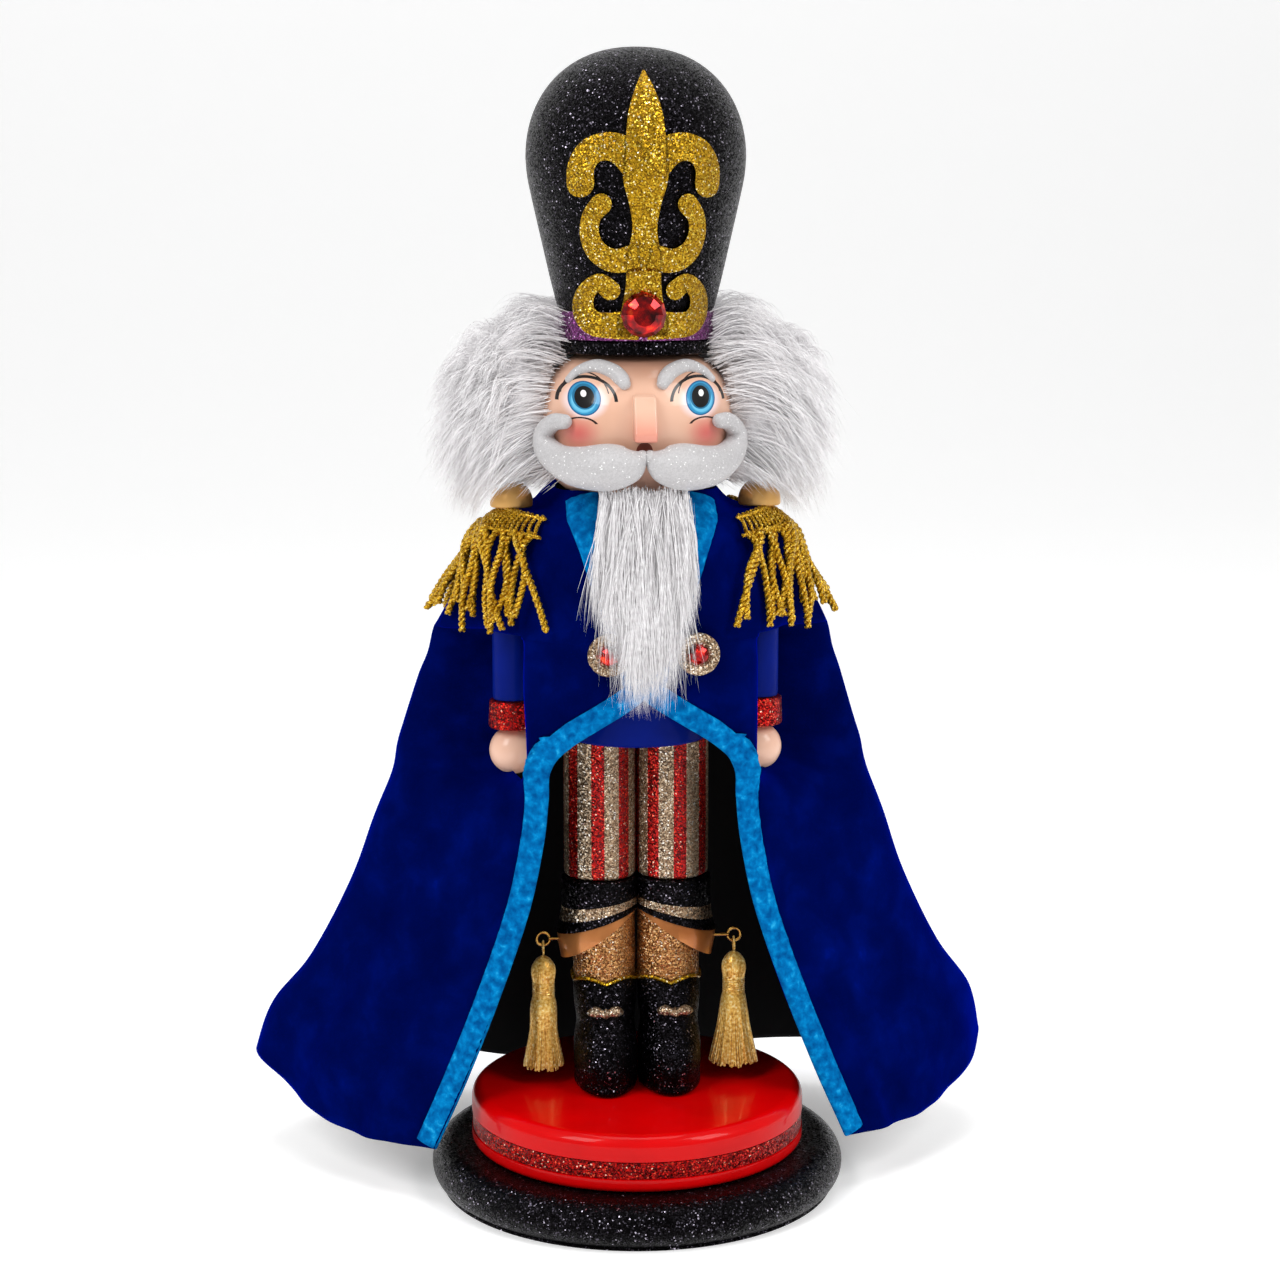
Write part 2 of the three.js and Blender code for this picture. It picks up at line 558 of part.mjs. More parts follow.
// Jaw: one wooden lever on a cross pin. Its front end is the chin that carries the beard.

const jaw = new THREE.Group();
jaw.position.set(0, PIVOT.y, PIVOT.z);
figure.add(jaw);

function buildJaw() {
  const outline = [
    [-36, 286.4],
    [32, 285.5],
    [34, 280],
    [38, 226],
    [44, 226],
    [44, 290],
    [40, 295],
    [-20, 295],
    [-24, 299.6],
    [-36, 299.6],
  ].map(([y, z]) => [y - PIVOT.y, z - PIVOT.z]);
  const hole = rod(PIVOT.radius + GAP, [-20, 0, 0], [20, 0, 0]);
  piece("jaw_lever", solid(slab(outline, LEVER_WIDTH)).subtract(solid(hole)), "wood", jaw);

  const fall = [[0, -42.5, 287.4], [0, -43.5, 270], [0, -44, 250], [0, -45, 228], [0, -46, 204]];
  const line = fall.map(([x, y, z]) => [x, y - PIVOT.y, z - PIVOT.z]);
  piece("beard", horn(line, [15, 17, 14, 9, 1.2], [5, 5, 5, 4.4, 1.2], 5, 10), "fur", jaw);
  piece("jaw_pin", rod(PIVOT.radius, [-24, PIVOT.y, PIVOT.z], [24, PIVOT.y, PIVOT.z], 12), "steel");
}

// Screw eyes in the boot cuffs, the thread loops through them and the tassels.

function buildTassel(side, sign) {
  const hang = EYE[side];
  const { y, z, ring, wire } = EYE;
  const eye = new THREE.TorusGeometry(ring, wire, 6, 14).rotateX(Math.PI / 2).translate(hang, y, z);
  const shank = rod(wire, [hang - sign * ring, y, z], [sign * (BOOT.x + BOOT.shin + 0.8), y, z], 8);
  piece(`screw_eye_${side}`, solid(eye).add(solid(shank)), "brass");

  const loop = new THREE.Group();
  loop.position.set(hang, y, z);
  figure.add(loop);
  const link = new THREE.TorusGeometry(LOOP.ring, LOOP.wire, 6, 12).rotateY(Math.PI / 2).translate(0, 0, -LOOP.drop);
  piece(`tassel_loop_${side}`, link, "thread", loop);

  const bundle = new THREE.Group();
  bundle.position.set(hang, y, 0);
  figure.add(bundle);
  const { headTop, bandTop, bandBottom, bottom } = TASSEL;
  const spread = TASSEL[side];
  const outline = [
    [0, bottom],
    [spread, bottom],
    [spread * 0.86, bottom + 8],
    [5.4, bandBottom - 4],
    [4.4, bandBottom],
    [4.4, bandTop],
    [4.9, bandTop + 4],
    [3.6, headTop - 2.6],
    [1, headTop],
    [0, headTop],
  ];
  piece(`tassel_${side}`, turned(outline, 16), "thread", bundle);
}

// The cape's surface: u counts its points from one front edge to the other, v its rows.

const ACROSS = 12;
const LAST_ROW = CAPE_ROWS.length - 1;

function capePoint(u, v) {
  const at = (row) => {
    const half = CAPE_ROWS[row].map(([x, y, z]) => new THREE.Vector3(x, y, z));
    const mirrored = half.slice(0, -1).map((point) => new THREE.Vector3(-point.x, point.y, point.z));
    const curve = new THREE.CatmullRomCurve3([...mirrored, ...half.reverse()]);
    return curve.getPoint(THREE.MathUtils.clamp(u / ACROSS, 0, 1));
  };
  const row = Math.min(Math.floor(v), LAST_ROW - 1);
  return at(row).lerp(at(row + 1), v - row);
}

function capeNormal(u, v) {
  const step = 0.02;
  const across = capePoint(Math.min(u + step, ACROSS), v).sub(capePoint(Math.max(u - step, 0), v));
  const top = Math.max(v - step, 0);
  const down = capePoint(u, top + step).sub(capePoint(u, top));
  return across.cross(down).normalize();
}

function shell(uList, vList, inner, outer) {
  const sections = vList.map((v) => {
    const place = (u, offset) => capePoint(u, v).addScaledVector(capeNormal(u, v), offset);
    return [...uList.map((u) => place(u, outer)), ...uList.map((u) => place(u, inner)).reverse()];
  });
  return sheet(sections);
}

// Where the surface is when measured square in from its front edge.
function inFromEdge(edgeU, v, width) {
  const step = 0.1;
  const inward = edgeU > 0 ? -step : step;
  const edge = capePoint(edgeU, v);
  const across = capePoint(edgeU + inward, v).sub(edge).divideScalar(inward);
  const up = Math.min(v, LAST_ROW - step);
  const down = capePoint(edgeU, up + step).sub(capePoint(edgeU, up)).divideScalar(step);
  const slant = across.dot(down) / down.lengthSq();
  const square = across.addScaledVector(down, -slant).length();
  const du = (Math.sign(inward) * width) / square;
  return [edgeU + du, THREE.MathUtils.clamp(v - slant * du, 0, LAST_ROW)];
}

const span = (from, to, steps) => Array.from({ length: steps + 1 }, (_, i) => from + ((to - from) * i) / steps);

function buildCape() {
  const rows = span(0, LAST_ROW, LAST_ROW);
  let cape = solid(shell(span(0, ACROSS, 2 * ACROSS), rows, -CAPE_THICKNESS, 0));
  const { inner, outer, front, back, bottom, top } = ARM_SLIT;
  for (const [, sign] of SIDES) {
    cape = cape.subtract(solid(box([inner, front, bottom], [outer, back, top]).scale(sign, 1, 1)));
  }
  piece("cape", cape, "velvet");

  for (const [side, sign] of SIDES) {
    const edgeU = sign > 0 ? ACROSS : 0;
    const sections = rows.map((v) => {
      const places = [0, TRIM_WIDTH / 2, TRIM_WIDTH].map((width) => inFromEdge(edgeU, v, width));
      const face = (offset) => places.map(([u, w]) => capePoint(u, w).addScaledVector(capeNormal(u, w), offset));
      return [...face(2.1), ...face(1).reverse()];
    });
    piece(`cape_trim_${side}`, sheet(sections), "turquoise");

    const shoulder = span(EPAULETTE.from, EPAULETTE.to, 6);
    const around = sign > 0 ? shoulder.map((u) => ACROSS - u).reverse() : shoulder;
    piece(`epaulette_tape_${side}`, shell(around, [2.4, 3.1], 1.5, 2.9), "bullion");
    piece(`epaulette_fringe_${side}`, shell(around, [3.2, 3.6, 4, 4.5, 5], 2.6, 5.6), "bullion");

    const x = BUTTON[side];
    const disc = rod(BUTTON.radius, [x, -39.9, BUTTON.z], [x, -41.7, BUTTON.z], 16);
    piece(`cape_button_${side}`, disc, "goldGlitter");
    const stone = turned([[0, 0], [BUTTON.gem, 0], [BUTTON.gem, 0.8], [BUTTON.gem * 0.55, 2.6], [0, 2.6]], 8);
    piece(`button_gem_${side}`, stone.rotateX(Math.PI / 2).translate(x, -42, BUTTON.z), "ruby");
  }
}

buildStand();
for (const [side, sign] of SIDES) {
  buildLeg(side, sign);
  buildArm(side, sign);
  buildTassel(side, sign);
}
buildTorso();
buildHead();
buildHair();
buildHat();
buildJaw();
buildCape();

export default nutcracker;
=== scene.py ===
# %% [markdown]
# # A caped nutcracker in velvet, glitter and fur
#
# The imported part is the frame. Every visible piece is made again here as a smooth, detailed mesh
# in the same place, and all but the beard ride on the same body, so the jaw and the tassels still move.
# Sizes are in millimetres, and become metres when a piece is finished.

import math
import random

import bmesh
import bpy
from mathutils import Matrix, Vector, noise


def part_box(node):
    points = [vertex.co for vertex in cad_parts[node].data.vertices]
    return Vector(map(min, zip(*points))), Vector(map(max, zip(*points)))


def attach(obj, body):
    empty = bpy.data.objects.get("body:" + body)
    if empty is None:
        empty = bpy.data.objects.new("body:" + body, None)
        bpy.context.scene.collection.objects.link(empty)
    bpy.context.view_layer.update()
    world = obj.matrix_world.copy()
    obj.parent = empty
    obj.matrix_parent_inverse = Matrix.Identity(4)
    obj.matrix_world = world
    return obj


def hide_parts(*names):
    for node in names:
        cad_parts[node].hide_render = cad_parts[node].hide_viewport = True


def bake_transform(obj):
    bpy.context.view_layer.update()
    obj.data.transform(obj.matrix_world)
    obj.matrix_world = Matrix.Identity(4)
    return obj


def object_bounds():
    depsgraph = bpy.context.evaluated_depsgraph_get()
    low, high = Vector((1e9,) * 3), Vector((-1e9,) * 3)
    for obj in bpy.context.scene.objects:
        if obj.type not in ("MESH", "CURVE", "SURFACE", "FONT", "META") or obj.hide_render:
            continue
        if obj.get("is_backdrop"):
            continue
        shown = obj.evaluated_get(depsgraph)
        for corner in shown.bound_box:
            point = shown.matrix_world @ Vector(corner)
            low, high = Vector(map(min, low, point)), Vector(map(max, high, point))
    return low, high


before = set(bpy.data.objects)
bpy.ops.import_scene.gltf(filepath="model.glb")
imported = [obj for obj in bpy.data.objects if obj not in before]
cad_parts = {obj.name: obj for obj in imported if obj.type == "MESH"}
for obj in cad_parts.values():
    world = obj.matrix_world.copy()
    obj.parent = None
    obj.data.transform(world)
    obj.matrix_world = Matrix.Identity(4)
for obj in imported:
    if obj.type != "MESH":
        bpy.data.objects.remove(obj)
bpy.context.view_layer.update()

# %% [markdown]
# ## Sizes
#
# The figure's own upright axis stands 5 mm behind the middle of the stand, so a piece of the figure
# is made about its own axis and moved back by that much. Left is the side of negative X.

# %% Driving sizes
MM = 0.001
FIGURE_Y = 5
LEG_X = 14.9
BOOT_X = 13.2
SIDES = {"left": -1, "right": 1}
random.seed(12)

# %% [markdown]
# ## Camera
#
# A long lens from a little above and a little to the figure's right hand, as a catalogue picture is taken.
# The camera is placed by the direction it looks in, which is easier to read than three angles.

# %% Place the camera
CAMERA_AT = Vector((-86.1, -984.2, 384)) * MM
HEADING = math.radians(5.07)
PITCH = math.radians(9.1)

camera = bpy.data.objects.new("camera", bpy.data.cameras.new("camera"))
bpy.context.scene.collection.objects.link(camera)
camera.data.lens = 69.75
camera.data.sensor_width = 36
camera.location = CAMERA_AT
look = Vector((math.sin(HEADING) * math.cos(PITCH), math.cos(HEADING) * math.cos(PITCH), -math.sin(PITCH)))
camera.rotation_euler = look.to_track_quat("-Z", "Y").to_euler()
bpy.context.scene.camera = camera
print("camera looks along", [round(x, 3) for x in look])

# %% [markdown]
# ## Colours and nodes
#
# Colours are written as the sRGB hex values that a paint card would give, and turned to linear light once.
# One small function adds a node, sets its properties and fills or links its sockets. The others are
# steps of a finish: they dress the shader, reopen a finish, or lay another colour over it.

# %% Colour and node helpers
def linear(code):
    """The linear RGBA of an sRGB hex colour."""
    channels = [int(code[i : i + 2], 16) / 255 for i in (0, 2, 4)]
    return [c / 12.92 if c < 0.04045 else ((c + 0.055) / 1.055) ** 2.4 for c in channels] + [1]


def add(tree, kind, values=None, stops=(), steps=False, **settings):
    """A new node: properties set, sockets filled or linked, and a ramp's (position, hex) stops placed."""
    node = tree.nodes.new(kind)
    for key, value in settings.items():
        setattr(node, key, value)
    for socket, value in (values or {}).items():
        if isinstance(value, bpy.types.NodeSocket):
            tree.links.new(value, node.inputs[socket])
        else:
            node.inputs[socket].default_value = value
    if stops:
        band = node.color_ramp
        band.interpolation = "CONSTANT" if steps else "LINEAR"
        while len(band.elements) < len(stops):
            band.elements.new(1)
        for element, (position, code) in zip(band.elements, stops):
            element.position = position
            element.color = linear(code)
    return node


def finish_named(name, colour, **sockets):
    """A material with one Principled shader, and its tree, shader and Object coordinates."""
    finish = bpy.data.materials.new(name)
    finish.use_nodes = True
    tree = finish.node_tree
    tree.nodes.clear()
    values = {"Base Color": linear(colour)}
    values.update({key.replace("_", " "): value for key, value in sockets.items()})
    shader = add(tree, "ShaderNodeBsdfPrincipled", values)
    add(tree, "ShaderNodeOutputMaterial", {"Surface": shader.outputs[0]})
    place = add(tree, "ShaderNodeTexCoord").outputs["Object"]
    return finish, tree, shader, place


def dress(tree, shader, height, raised, tone=None):
    """Gives a shader its tone, and raises it by a pattern that stands so many millimetres high."""
    if tone is not None:
        tree.links.new(tone, shader.inputs["Base Color"])
    relief = add(tree, "ShaderNodeBump", {"Height": height, "Strength": 1, "Distance": raised * MM})
    tree.links.new(relief.outputs[0], shader.inputs["Normal"])


def reopened(finish):
    """The tree, the shader and the Object coordinates of a finish that takes another layer."""
    tree = finish.node_tree
    shader = next(n for n in tree.nodes if n.type == "BSDF_PRINCIPLED")
    return tree, shader, next(n for n in tree.nodes if n.type == "TEX_COORD").outputs["Object"]


def lay_over(tree, shader, mask, colour):
    """Lays a colour over what a finish has so far, where the mask is 1."""
    socket = shader.inputs["Base Color"]
    mix = add(tree, "ShaderNodeMix", {0: mask, 6: socket.links[0].from_socket, 7: colour}, data_type="RGBA")
    tree.links.new(mix.outputs[2], socket)


# %% [markdown]
# ## Glitter
#
# Craft glitter is foil cut into tiny hexagons and glued on, so each flake is a small mirror that lies
# at its own angle. Voronoi cells stand for the flakes: the cell's random colour picks the flake's tone
# and tips its normal. Real flakes are about 0.3 mm and are drawn at 0.5 mm so that they show.

# %% Glitter finishes
FLAKE = 0.5


def flakes(tree, place, stops):
    """Cells as large as a flake: each one's random colour, and its tone out of the stops."""
    cells = add(tree, "ShaderNodeTexVoronoi", {"Vector": place, "Scale": 1 / (FLAKE * MM)})
    parts = add(tree, "ShaderNodeSeparateColor", {"Color": cells.outputs["Color"]})
    tone = add(tree, "ShaderNodeValToRGB", {"Fac": parts.outputs[0]}, stops, steps=True)
    return cells.outputs["Color"], tone.outputs[0]


def glitter(name, stops, tilt=0.75, roughness=0.3, metallic=0.85):
    """Glued foil flakes; stops are the flakes' tones, darkest and most common first."""
    finish, tree, shader, place = finish_named(name, stops[0][1], Roughness=roughness, Metallic=metallic)
    lot, tone = flakes(tree, place, stops)
    tree.links.new(tone, shader.inputs["Base Color"])
    lean = add(tree, "ShaderNodeVectorMath", {0: lot, 1: (0.5, 0.5, 0.5)}, operation="SUBTRACT")
    lean = add(tree, "ShaderNodeVectorMath", {0: lean.outputs[0], "Scale": tilt}, operation="SCALE")
    normal = add(tree, "ShaderNodeNewGeometry").outputs["Normal"]
    tipped = add(tree, "ShaderNodeVectorMath", {0: normal, 1: lean.outputs[0]}, operation="ADD")
    tipped = add(tree, "ShaderNodeVectorMath", {0: tipped.outputs[0]}, operation="NORMALIZE")
    tree.links.new(tipped.outputs[0], shader.inputs["Normal"])
    return finish


BLACK_FLAKES = [(0, "050405"), (0.5, "0d0c0e"), (0.8, "1f1d21"), (0.94, "55505b"), (0.985, "bdb5c6")]
GOLD_FLAKES = [(0, "745206"), (0.3, "9a7409"), (0.62, "b98f17"), (0.88, "dcbf45"), (0.97, "fff2bf")]
RED_FLAKES = [(0, "4c0406"), (0.35, "93090b"), (0.7, "cd160f"), (0.93, "f0563a"), (0.985, "ffc9b0")]
PURPLE_FLAKES = [(0, "4c2149"), (0.35, "77376f"), (0.7, "9c559a"), (0.93, "c98cc9"), (0.98, "f2d7f2")]
WHITE_FLAKES = [(0, "b6b4b5"), (0.3, "bbb9ba"), (0.65, "c1bfc0"), (0.98, "f2f2f2")]
TAN_FLAKES = [(0, "5f4a38"), (0.3, "8c7258"), (0.6, "b79d80"), (0.85, "dccbb2"), (0.96, "fffaf0")]
BRONZE_FLAKES = [(0, "6e4524"), (0.3, "a06c3c"), (0.62, "c7935a"), (0.9, "ecc38e"), (0.97, "fff0d6")]

black_glitter = glitter("black_glitter_on_wood", BLACK_FLAKES, metallic=0.97, roughness=0.38)
gold_glitter = glitter("gold_glitter_card", GOLD_FLAKES)
red_glitter = glitter("red_glitter_band", RED_FLAKES)
purple_glitter = glitter("purple_glitter_ribbon", PURPLE_FLAKES)
white_glitter = glitter("white_glitter_on_resin", WHITE_FLAKES, tilt=0.22, roughness=0.5, metallic=0.0)
bronze_glitter = glitter("bronze_glitter_on_wood", BRONZE_FLAKES)
champagne_glitter = glitter("champagne_glitter_card", TAN_FLAKES)
print("glitter finishes made")

# %% [markdown]
# ## Striped and banded glitter
#
# The trousers are masked and sprayed in stripes, red between champagne, eight of each round a leg.
# The angle round the leg's own axis says which stripe a point is in. Both legs are one mirrored
# pattern, so X is folded at the middle with its absolute value.

# %% Stripe and band finishes
STRIPE_PAIRS = 8
FIRST_RED = math.radians(8)
RED_SHARE = 0.46
BAND_TOP_LINE, BAND_LOW_LINE = (119.7, -0.138), (117, -0.235)


def folded_x(tree, place):
    """X without its sign, and Y and Z, of a place."""
    axes = add(tree, "ShaderNodeSeparateXYZ", {0: place})
    side = add(tree, "ShaderNodeMath", {0: axes.outputs[0]}, operation="ABSOLUTE")
    return side.outputs[0], axes.outputs[1], axes.outputs[2]


def striped_trousers():
    """Champagne, then red laid over it in upright stripes."""
    finish = glitter("striped_glitter_trousers", TAN_FLAKES, metallic=0.7)
    tree, shader, place = reopened(finish)
    side, y, _ = folded_x(tree, place)
    across = add(tree, "ShaderNodeMath", {0: side, 1: LEG_X * MM}, operation="SUBTRACT").outputs[0]
    ahead = add(tree, "ShaderNodeMath", {0: FIGURE_Y * MM, 1: y}, operation="SUBTRACT").outputs[0]
    angle = add(tree, "ShaderNodeMath", {0: across, 1: ahead}, operation="ARCTAN2").outputs[0]
    pair = 2 * math.pi / STRIPE_PAIRS
    start = 0.25 - FIRST_RED / pair
    turns = add(tree, "ShaderNodeMath", {0: angle, 1: 1 / pair, 2: start}, operation="MULTIPLY_ADD")
    part = add(tree, "ShaderNodeMath", {0: turns.outputs[0]}, operation="FRACT").outputs[0]
    red = add(tree, "ShaderNodeMath", {0: part, 1: RED_SHARE}, operation="LESS_THAN").outputs[0]
    lay_over(tree, shader, red, flakes(tree, place, RED_FLAKES)[1])
    return finish


def banded_cuff():
    """Black, then a champagne band between two lines that fall away from the middle of the figure."""
    finish = glitter("banded_glitter_cuff", BLACK_FLAKES, metallic=0.95)
    tree, shader, place = reopened(finish)
    side, _, z = folded_x(tree, place)
    masks = []
    for (height, slope), operation in ((BAND_TOP_LINE, "LESS_THAN"), (BAND_LOW_LINE, "GREATER_THAN")):
        falling = {0: side, 1: slope, 2: height * MM}
        line = add(tree, "ShaderNodeMath", falling, operation="MULTIPLY_ADD").outputs[0]
        masks.append(add(tree, "ShaderNodeMath", {0: z, 1: line}, operation=operation).outputs[0])
    band = add(tree, "ShaderNodeMath", {0: masks[0], 1: masks[1]}, operation="MULTIPLY").outputs[0]
    lay_over(tree, shader, band, flakes(tree, place, TAN_FLAKES)[1])
    return finish


trouser_stripes = striped_trousers()
cuff_bands = banded_cuff()
print("stripes and bands made")

# %% [markdown]
# ## Paints and lacquers
#
# The wood is sprayed and then cleared, which gives two glosses: a soft one from the colour coat and
# a sharp one from the lacquer over it, which is the shader's coat. A faint ripple keeps the highlights
# from looking like glass, as the wood under the paint is never quite true.

# %% Paint finishes
def paint(name, colour, darker, roughness=0.35, coat=0.45, metallic=0.0, specular=0.2):
    """Sprayed paint under clear lacquer, with a slow drift of tone and a faint ripple."""
    finish, tree, shader, place = finish_named(
        name,
        colour,
        Roughness=roughness,
        Metallic=metallic,
        Specular_IOR_Level=specular,
        Coat_Weight=coat,
        Coat_Roughness=0.06,
    )
    drift = add(tree, "ShaderNodeTexNoise", {"Vector": place, "Scale": 40, "Detail": 3})
    tone = add(tree, "ShaderNodeValToRGB", {"Fac": drift.outputs[0]}, [(0.35, darker), (0.65, colour)])
    ripple = add(tree, "ShaderNodeTexNoise", {"Vector": place, "Scale": 220, "Detail": 2})
    dress(tree, shader, ripple.outputs[0], 0.05, tone.outputs[0])
    return finish


red_lacquer = paint("red_lacquer", "d80003", "c80002", roughness=0.35, coat=0.26, specular=0.05)
blue_paint = paint("blue_paint", "01197a", "011468", roughness=0.45, coat=0.03, specular=0.03)
copper_paint = paint("copper_paint", "d18a4e", "a8622f", roughness=0.3, coat=0.4, metallic=0.6)
satin_gold = paint("satin_gold_paint", "f0bc72", "dfaa60", roughness=0.3, coat=0.25, metallic=0.5)
plain_flesh = paint("flesh_paint", "f0c4ac", "ebbba2")
print("paints made")

# %% [markdown]
# ## The painted face
#
# The face is brushed on by hand: a pale eye field, a blue iris, a black pupil with a white dot,
# thin black lines round the lids and a soft sprayed cheek. Over the forehead a soft brown band is
# painted shade, standing in for the shadow under the hat. Every mark is an ellipse or a part of its
# rim, so one function lays any of them: it centres and scales the place, and the distance from the
# middle says whether a point is inside. X is folded, so that each mark is made on both sides at once.

# %% Face paint
EYE_X, EYE_Z = 22.6, 324.6
FLESH = ("e8bca3", "e2b196")


def mark(tree, shader, plane, colour, centre, radii, soft=0.0, rim=0.0, above=None):
    """Paints an ellipse, or with rim a line on it, over a finish; above keeps what is higher than it."""
    scale = [1 / (radius * MM) for radius in radii]
    shift = [-c * MM * s for c, s in zip(centre, scale)]
    centred = {"Vector": plane, "Scale": (scale[0], 0, scale[1]), "Location": (shift[0], 0, shift[1])}
    local = add(tree, "ShaderNodeMapping", centred)
    reach = add(tree, "ShaderNodeVectorMath", {0: local.outputs[0]}, operation="LENGTH").outputs["Value"]
    if rim:
        reach = add(tree, "ShaderNodeMath", {0: reach, 1: 1}, operation="SUBTRACT").outputs[0]
        reach = add(tree, "ShaderNodeMath", {0: reach}, operation="ABSOLUTE").outputs[0]
    edge = rim / min(radii) / 2 if rim else 1.0
    limits = {"Value": reach, "From Min": edge * (1 - soft) - 0.004, "From Max": edge, "To Min": 1, "To Max": 0}
    mask = add(tree, "ShaderNodeMapRange", limits, interpolation_type="SMOOTHSTEP").outputs[0]
    if above is not None:
        height = add(tree, "ShaderNodeSeparateXYZ", {0: plane}).outputs[2]
        higher = add(tree, "ShaderNodeMath", {0: height, 1: above * MM}, operation="GREATER_THAN").outputs[0]
        mask = add(tree, "ShaderNodeMath", {0: mask, 1: higher}, operation="MULTIPLY").outputs[0]
    lay_over(tree, shader, mask, linear(colour))


def painted_face():
    """Flesh, the marks laid over it one by one, and flesh again behind the ears."""
    finish = paint("painted_face", *FLESH, roughness=0.3)
    tree, shader, place = reopened(finish)
    flesh = shader.inputs["Base Color"].links[0].from_socket
    side, y, z = folded_x(tree, place)
    plane = add(tree, "ShaderNodeCombineXYZ", {0: side, 2: z}).outputs[0]
    x, top = EYE_X, EYE_Z
    for colour, centre, radii, how in (
        # painted shade: a soft brown band across the forehead, standing in for the hat's shadow
        ("7c5241", (0, 344), (44, 17), {"soft": 1.0}),
        ("d5685e", (x + 2.5, top - 13.5), (11, 9.5), {"soft": 1.0}),
        ("f3dcdc", (x - 0.2, top - 0.9), (9.8, 8), {"soft": 0.4}),
        ("17608f", (x, top), (6.2, 6.6), {}),
        ("2d8fc0", (x, top), (5.7, 6.1), {}),
        ("6cc3e6", (x + 0.4, top - 0.9), (5.0, 4.9), {"soft": 0.15}),
        ("1b6f97", (x, top + 0.7), (4.5, 4.9), {}),
        ("050505", (x, top + 0.5), (3.7, 4.2), {}),
        ("ffffff", (x + 0.3, top + 1.9), (1.1, 1.3), {}),
        ("0b0707", (x - 0.9, top - 1.2), (11, 9.4), {"rim": 1.15, "above": top - 1}),
        ("2a1512", (x - 0.2, top + 0.3), (9, 9.6), {"rim": 0.55, "above": top + 2}),
        ("2a1512", (x + 1.5, top - 10.7), (6.2, 3.4), {"rim": 0.6, "above": top - 9.6}),
        ("7d4034", (0, 304.6), (3.2, 3.6), {}),
    ):
        mark(tree, shader, plane, colour, centre, radii, **how)
    behind = add(tree, "ShaderNodeMath", {0: y, 1: FIGURE_Y * MM}, operation="GREATER_THAN").outputs[0]
    lay_over(tree, shader, behind, flesh)
    return finish


def painted_nose():
    """Flesh at the bridge, blushed towards the tip."""
    finish = paint("painted_nose", *FLESH, roughness=0.3)
    tree, shader, place = reopened(finish)
    z = add(tree, "ShaderNodeSeparateXYZ", {0: place}).outputs[2]
    limits = {"Value": z, "From Min": 309 * MM, "From Max": 322 * MM, "To Min": 0.9, "To Max": 0}
    blush = add(tree, "ShaderNodeMapRange", limits, interpolation_type="SMOOTHSTEP").outputs[0]
    lay_over(tree, shader, blush, linear("e08f7c"))
    return finish


face_paint = painted_face()
nose_paint = painted_nose()
print("face painted")

# %% [markdown]
# ## Velvet
#
# Velvet is a pile of upright fibres. Looked at from the top it swallows light, and at a slant the
# fibres' sides light up, which is what the shader's sheen does. Handling leaves patches where the pile
# leans, so the tone drifts. The binding is crushed velvet: its pile is pressed every way, so its
# patches are small and strong.

# %% Velvet finishes
PILE = 0.8


def velvet(name, stops, sheen, patch, crush):
    """Pile fabric; patch is the size of its leaning patches in millimetres, and crush how far they stand."""
    finish, tree, shader, place = finish_named(
        name,
        stops[0][1],
        Roughness=0.9,
        Specular_IOR_Level=0,
        Sheen_Weight=0.5,
        Sheen_Roughness=0.35,
        Sheen_Tint=linear(sheen),
    )
    leaning = {"Vector": place, "Scale": 1 / (patch * MM), "Detail": 4, "Distortion": 0.2}
    lean = add(tree, "ShaderNodeTexNoise", leaning).outputs[0]
    tone = add(tree, "ShaderNodeValToRGB", {"Fac": lean}, stops).outputs[0]
    pile = add(tree, "ShaderNodeTexNoise", {"Vector": place, "Scale": 1 / (PILE * MM), "Detail": 2})
    height = add(tree, "ShaderNodeMath", {0: lean, 1: crush, 2: pile.outputs[0]}, operation="MULTIPLY_ADD")
    dress(tree, shader, height.outputs[0], 0.12, tone)
    return finish


NAVY = [(0.3, "00063e"), (0.5, "000848"), (0.7, "000c5a"), (0.82, "00147c")]
TURQUOISE = [(0.32, "034f8e"), (0.5, "0469ab"), (0.64, "0782c4"), (0.78, "2fb0e2")]
navy_velvet = velvet("navy_velvet", NAVY, "001cff", 17, 1)
turquoise_velvet = velvet("crushed_turquoise_velvet", TURQUOISE, "12a4ff", 3.2, 6)


def satin_lining():
    """Black polyester satin, woven so fine that only its soft shine shows."""
    looks = {"Roughness": 0.55, "Specular_IOR_Level": 0.12}
    finish, tree, shader, place = finish_named("black_satin_lining", "020204", **looks)
    folds = add(tree, "ShaderNodeTexNoise", {"Vector": place, "Scale": 60, "Detail": 4})
    dress(tree, shader, folds.outputs[0], 0.3)
    return finish


lining = satin_lining()
print("velvets made")

# %% [markdown]
# ## Fur, thread, bullion, metal, stone and wood
#
# Fur is modelled strand by strand, so its finish only has to give each strand its own slightly
# different white. Thread and bullion are drawn metal and rayon, whose shine comes in short glints along
# the twist. The stones are moulded acrylic with foil behind, so they are treated as tinted mirror.

# %% Small finishes
def speckled(name, stops, grain, raised, **sockets):
    """A finish whose tone and height change over a grain in millimetres."""
    finish, tree, shader, place = finish_named(name, stops[0][1], **sockets)
    spots = add(tree, "ShaderNodeTexNoise", {"Vector": place, "Scale": 1 / (grain * MM), "Detail": 3})
    tone = add(tree, "ShaderNodeValToRGB", {"Fac": spots.outputs[0]}, stops)
    dress(tree, shader, spots.outputs[0], raised, tone.outputs[0])
    return finish


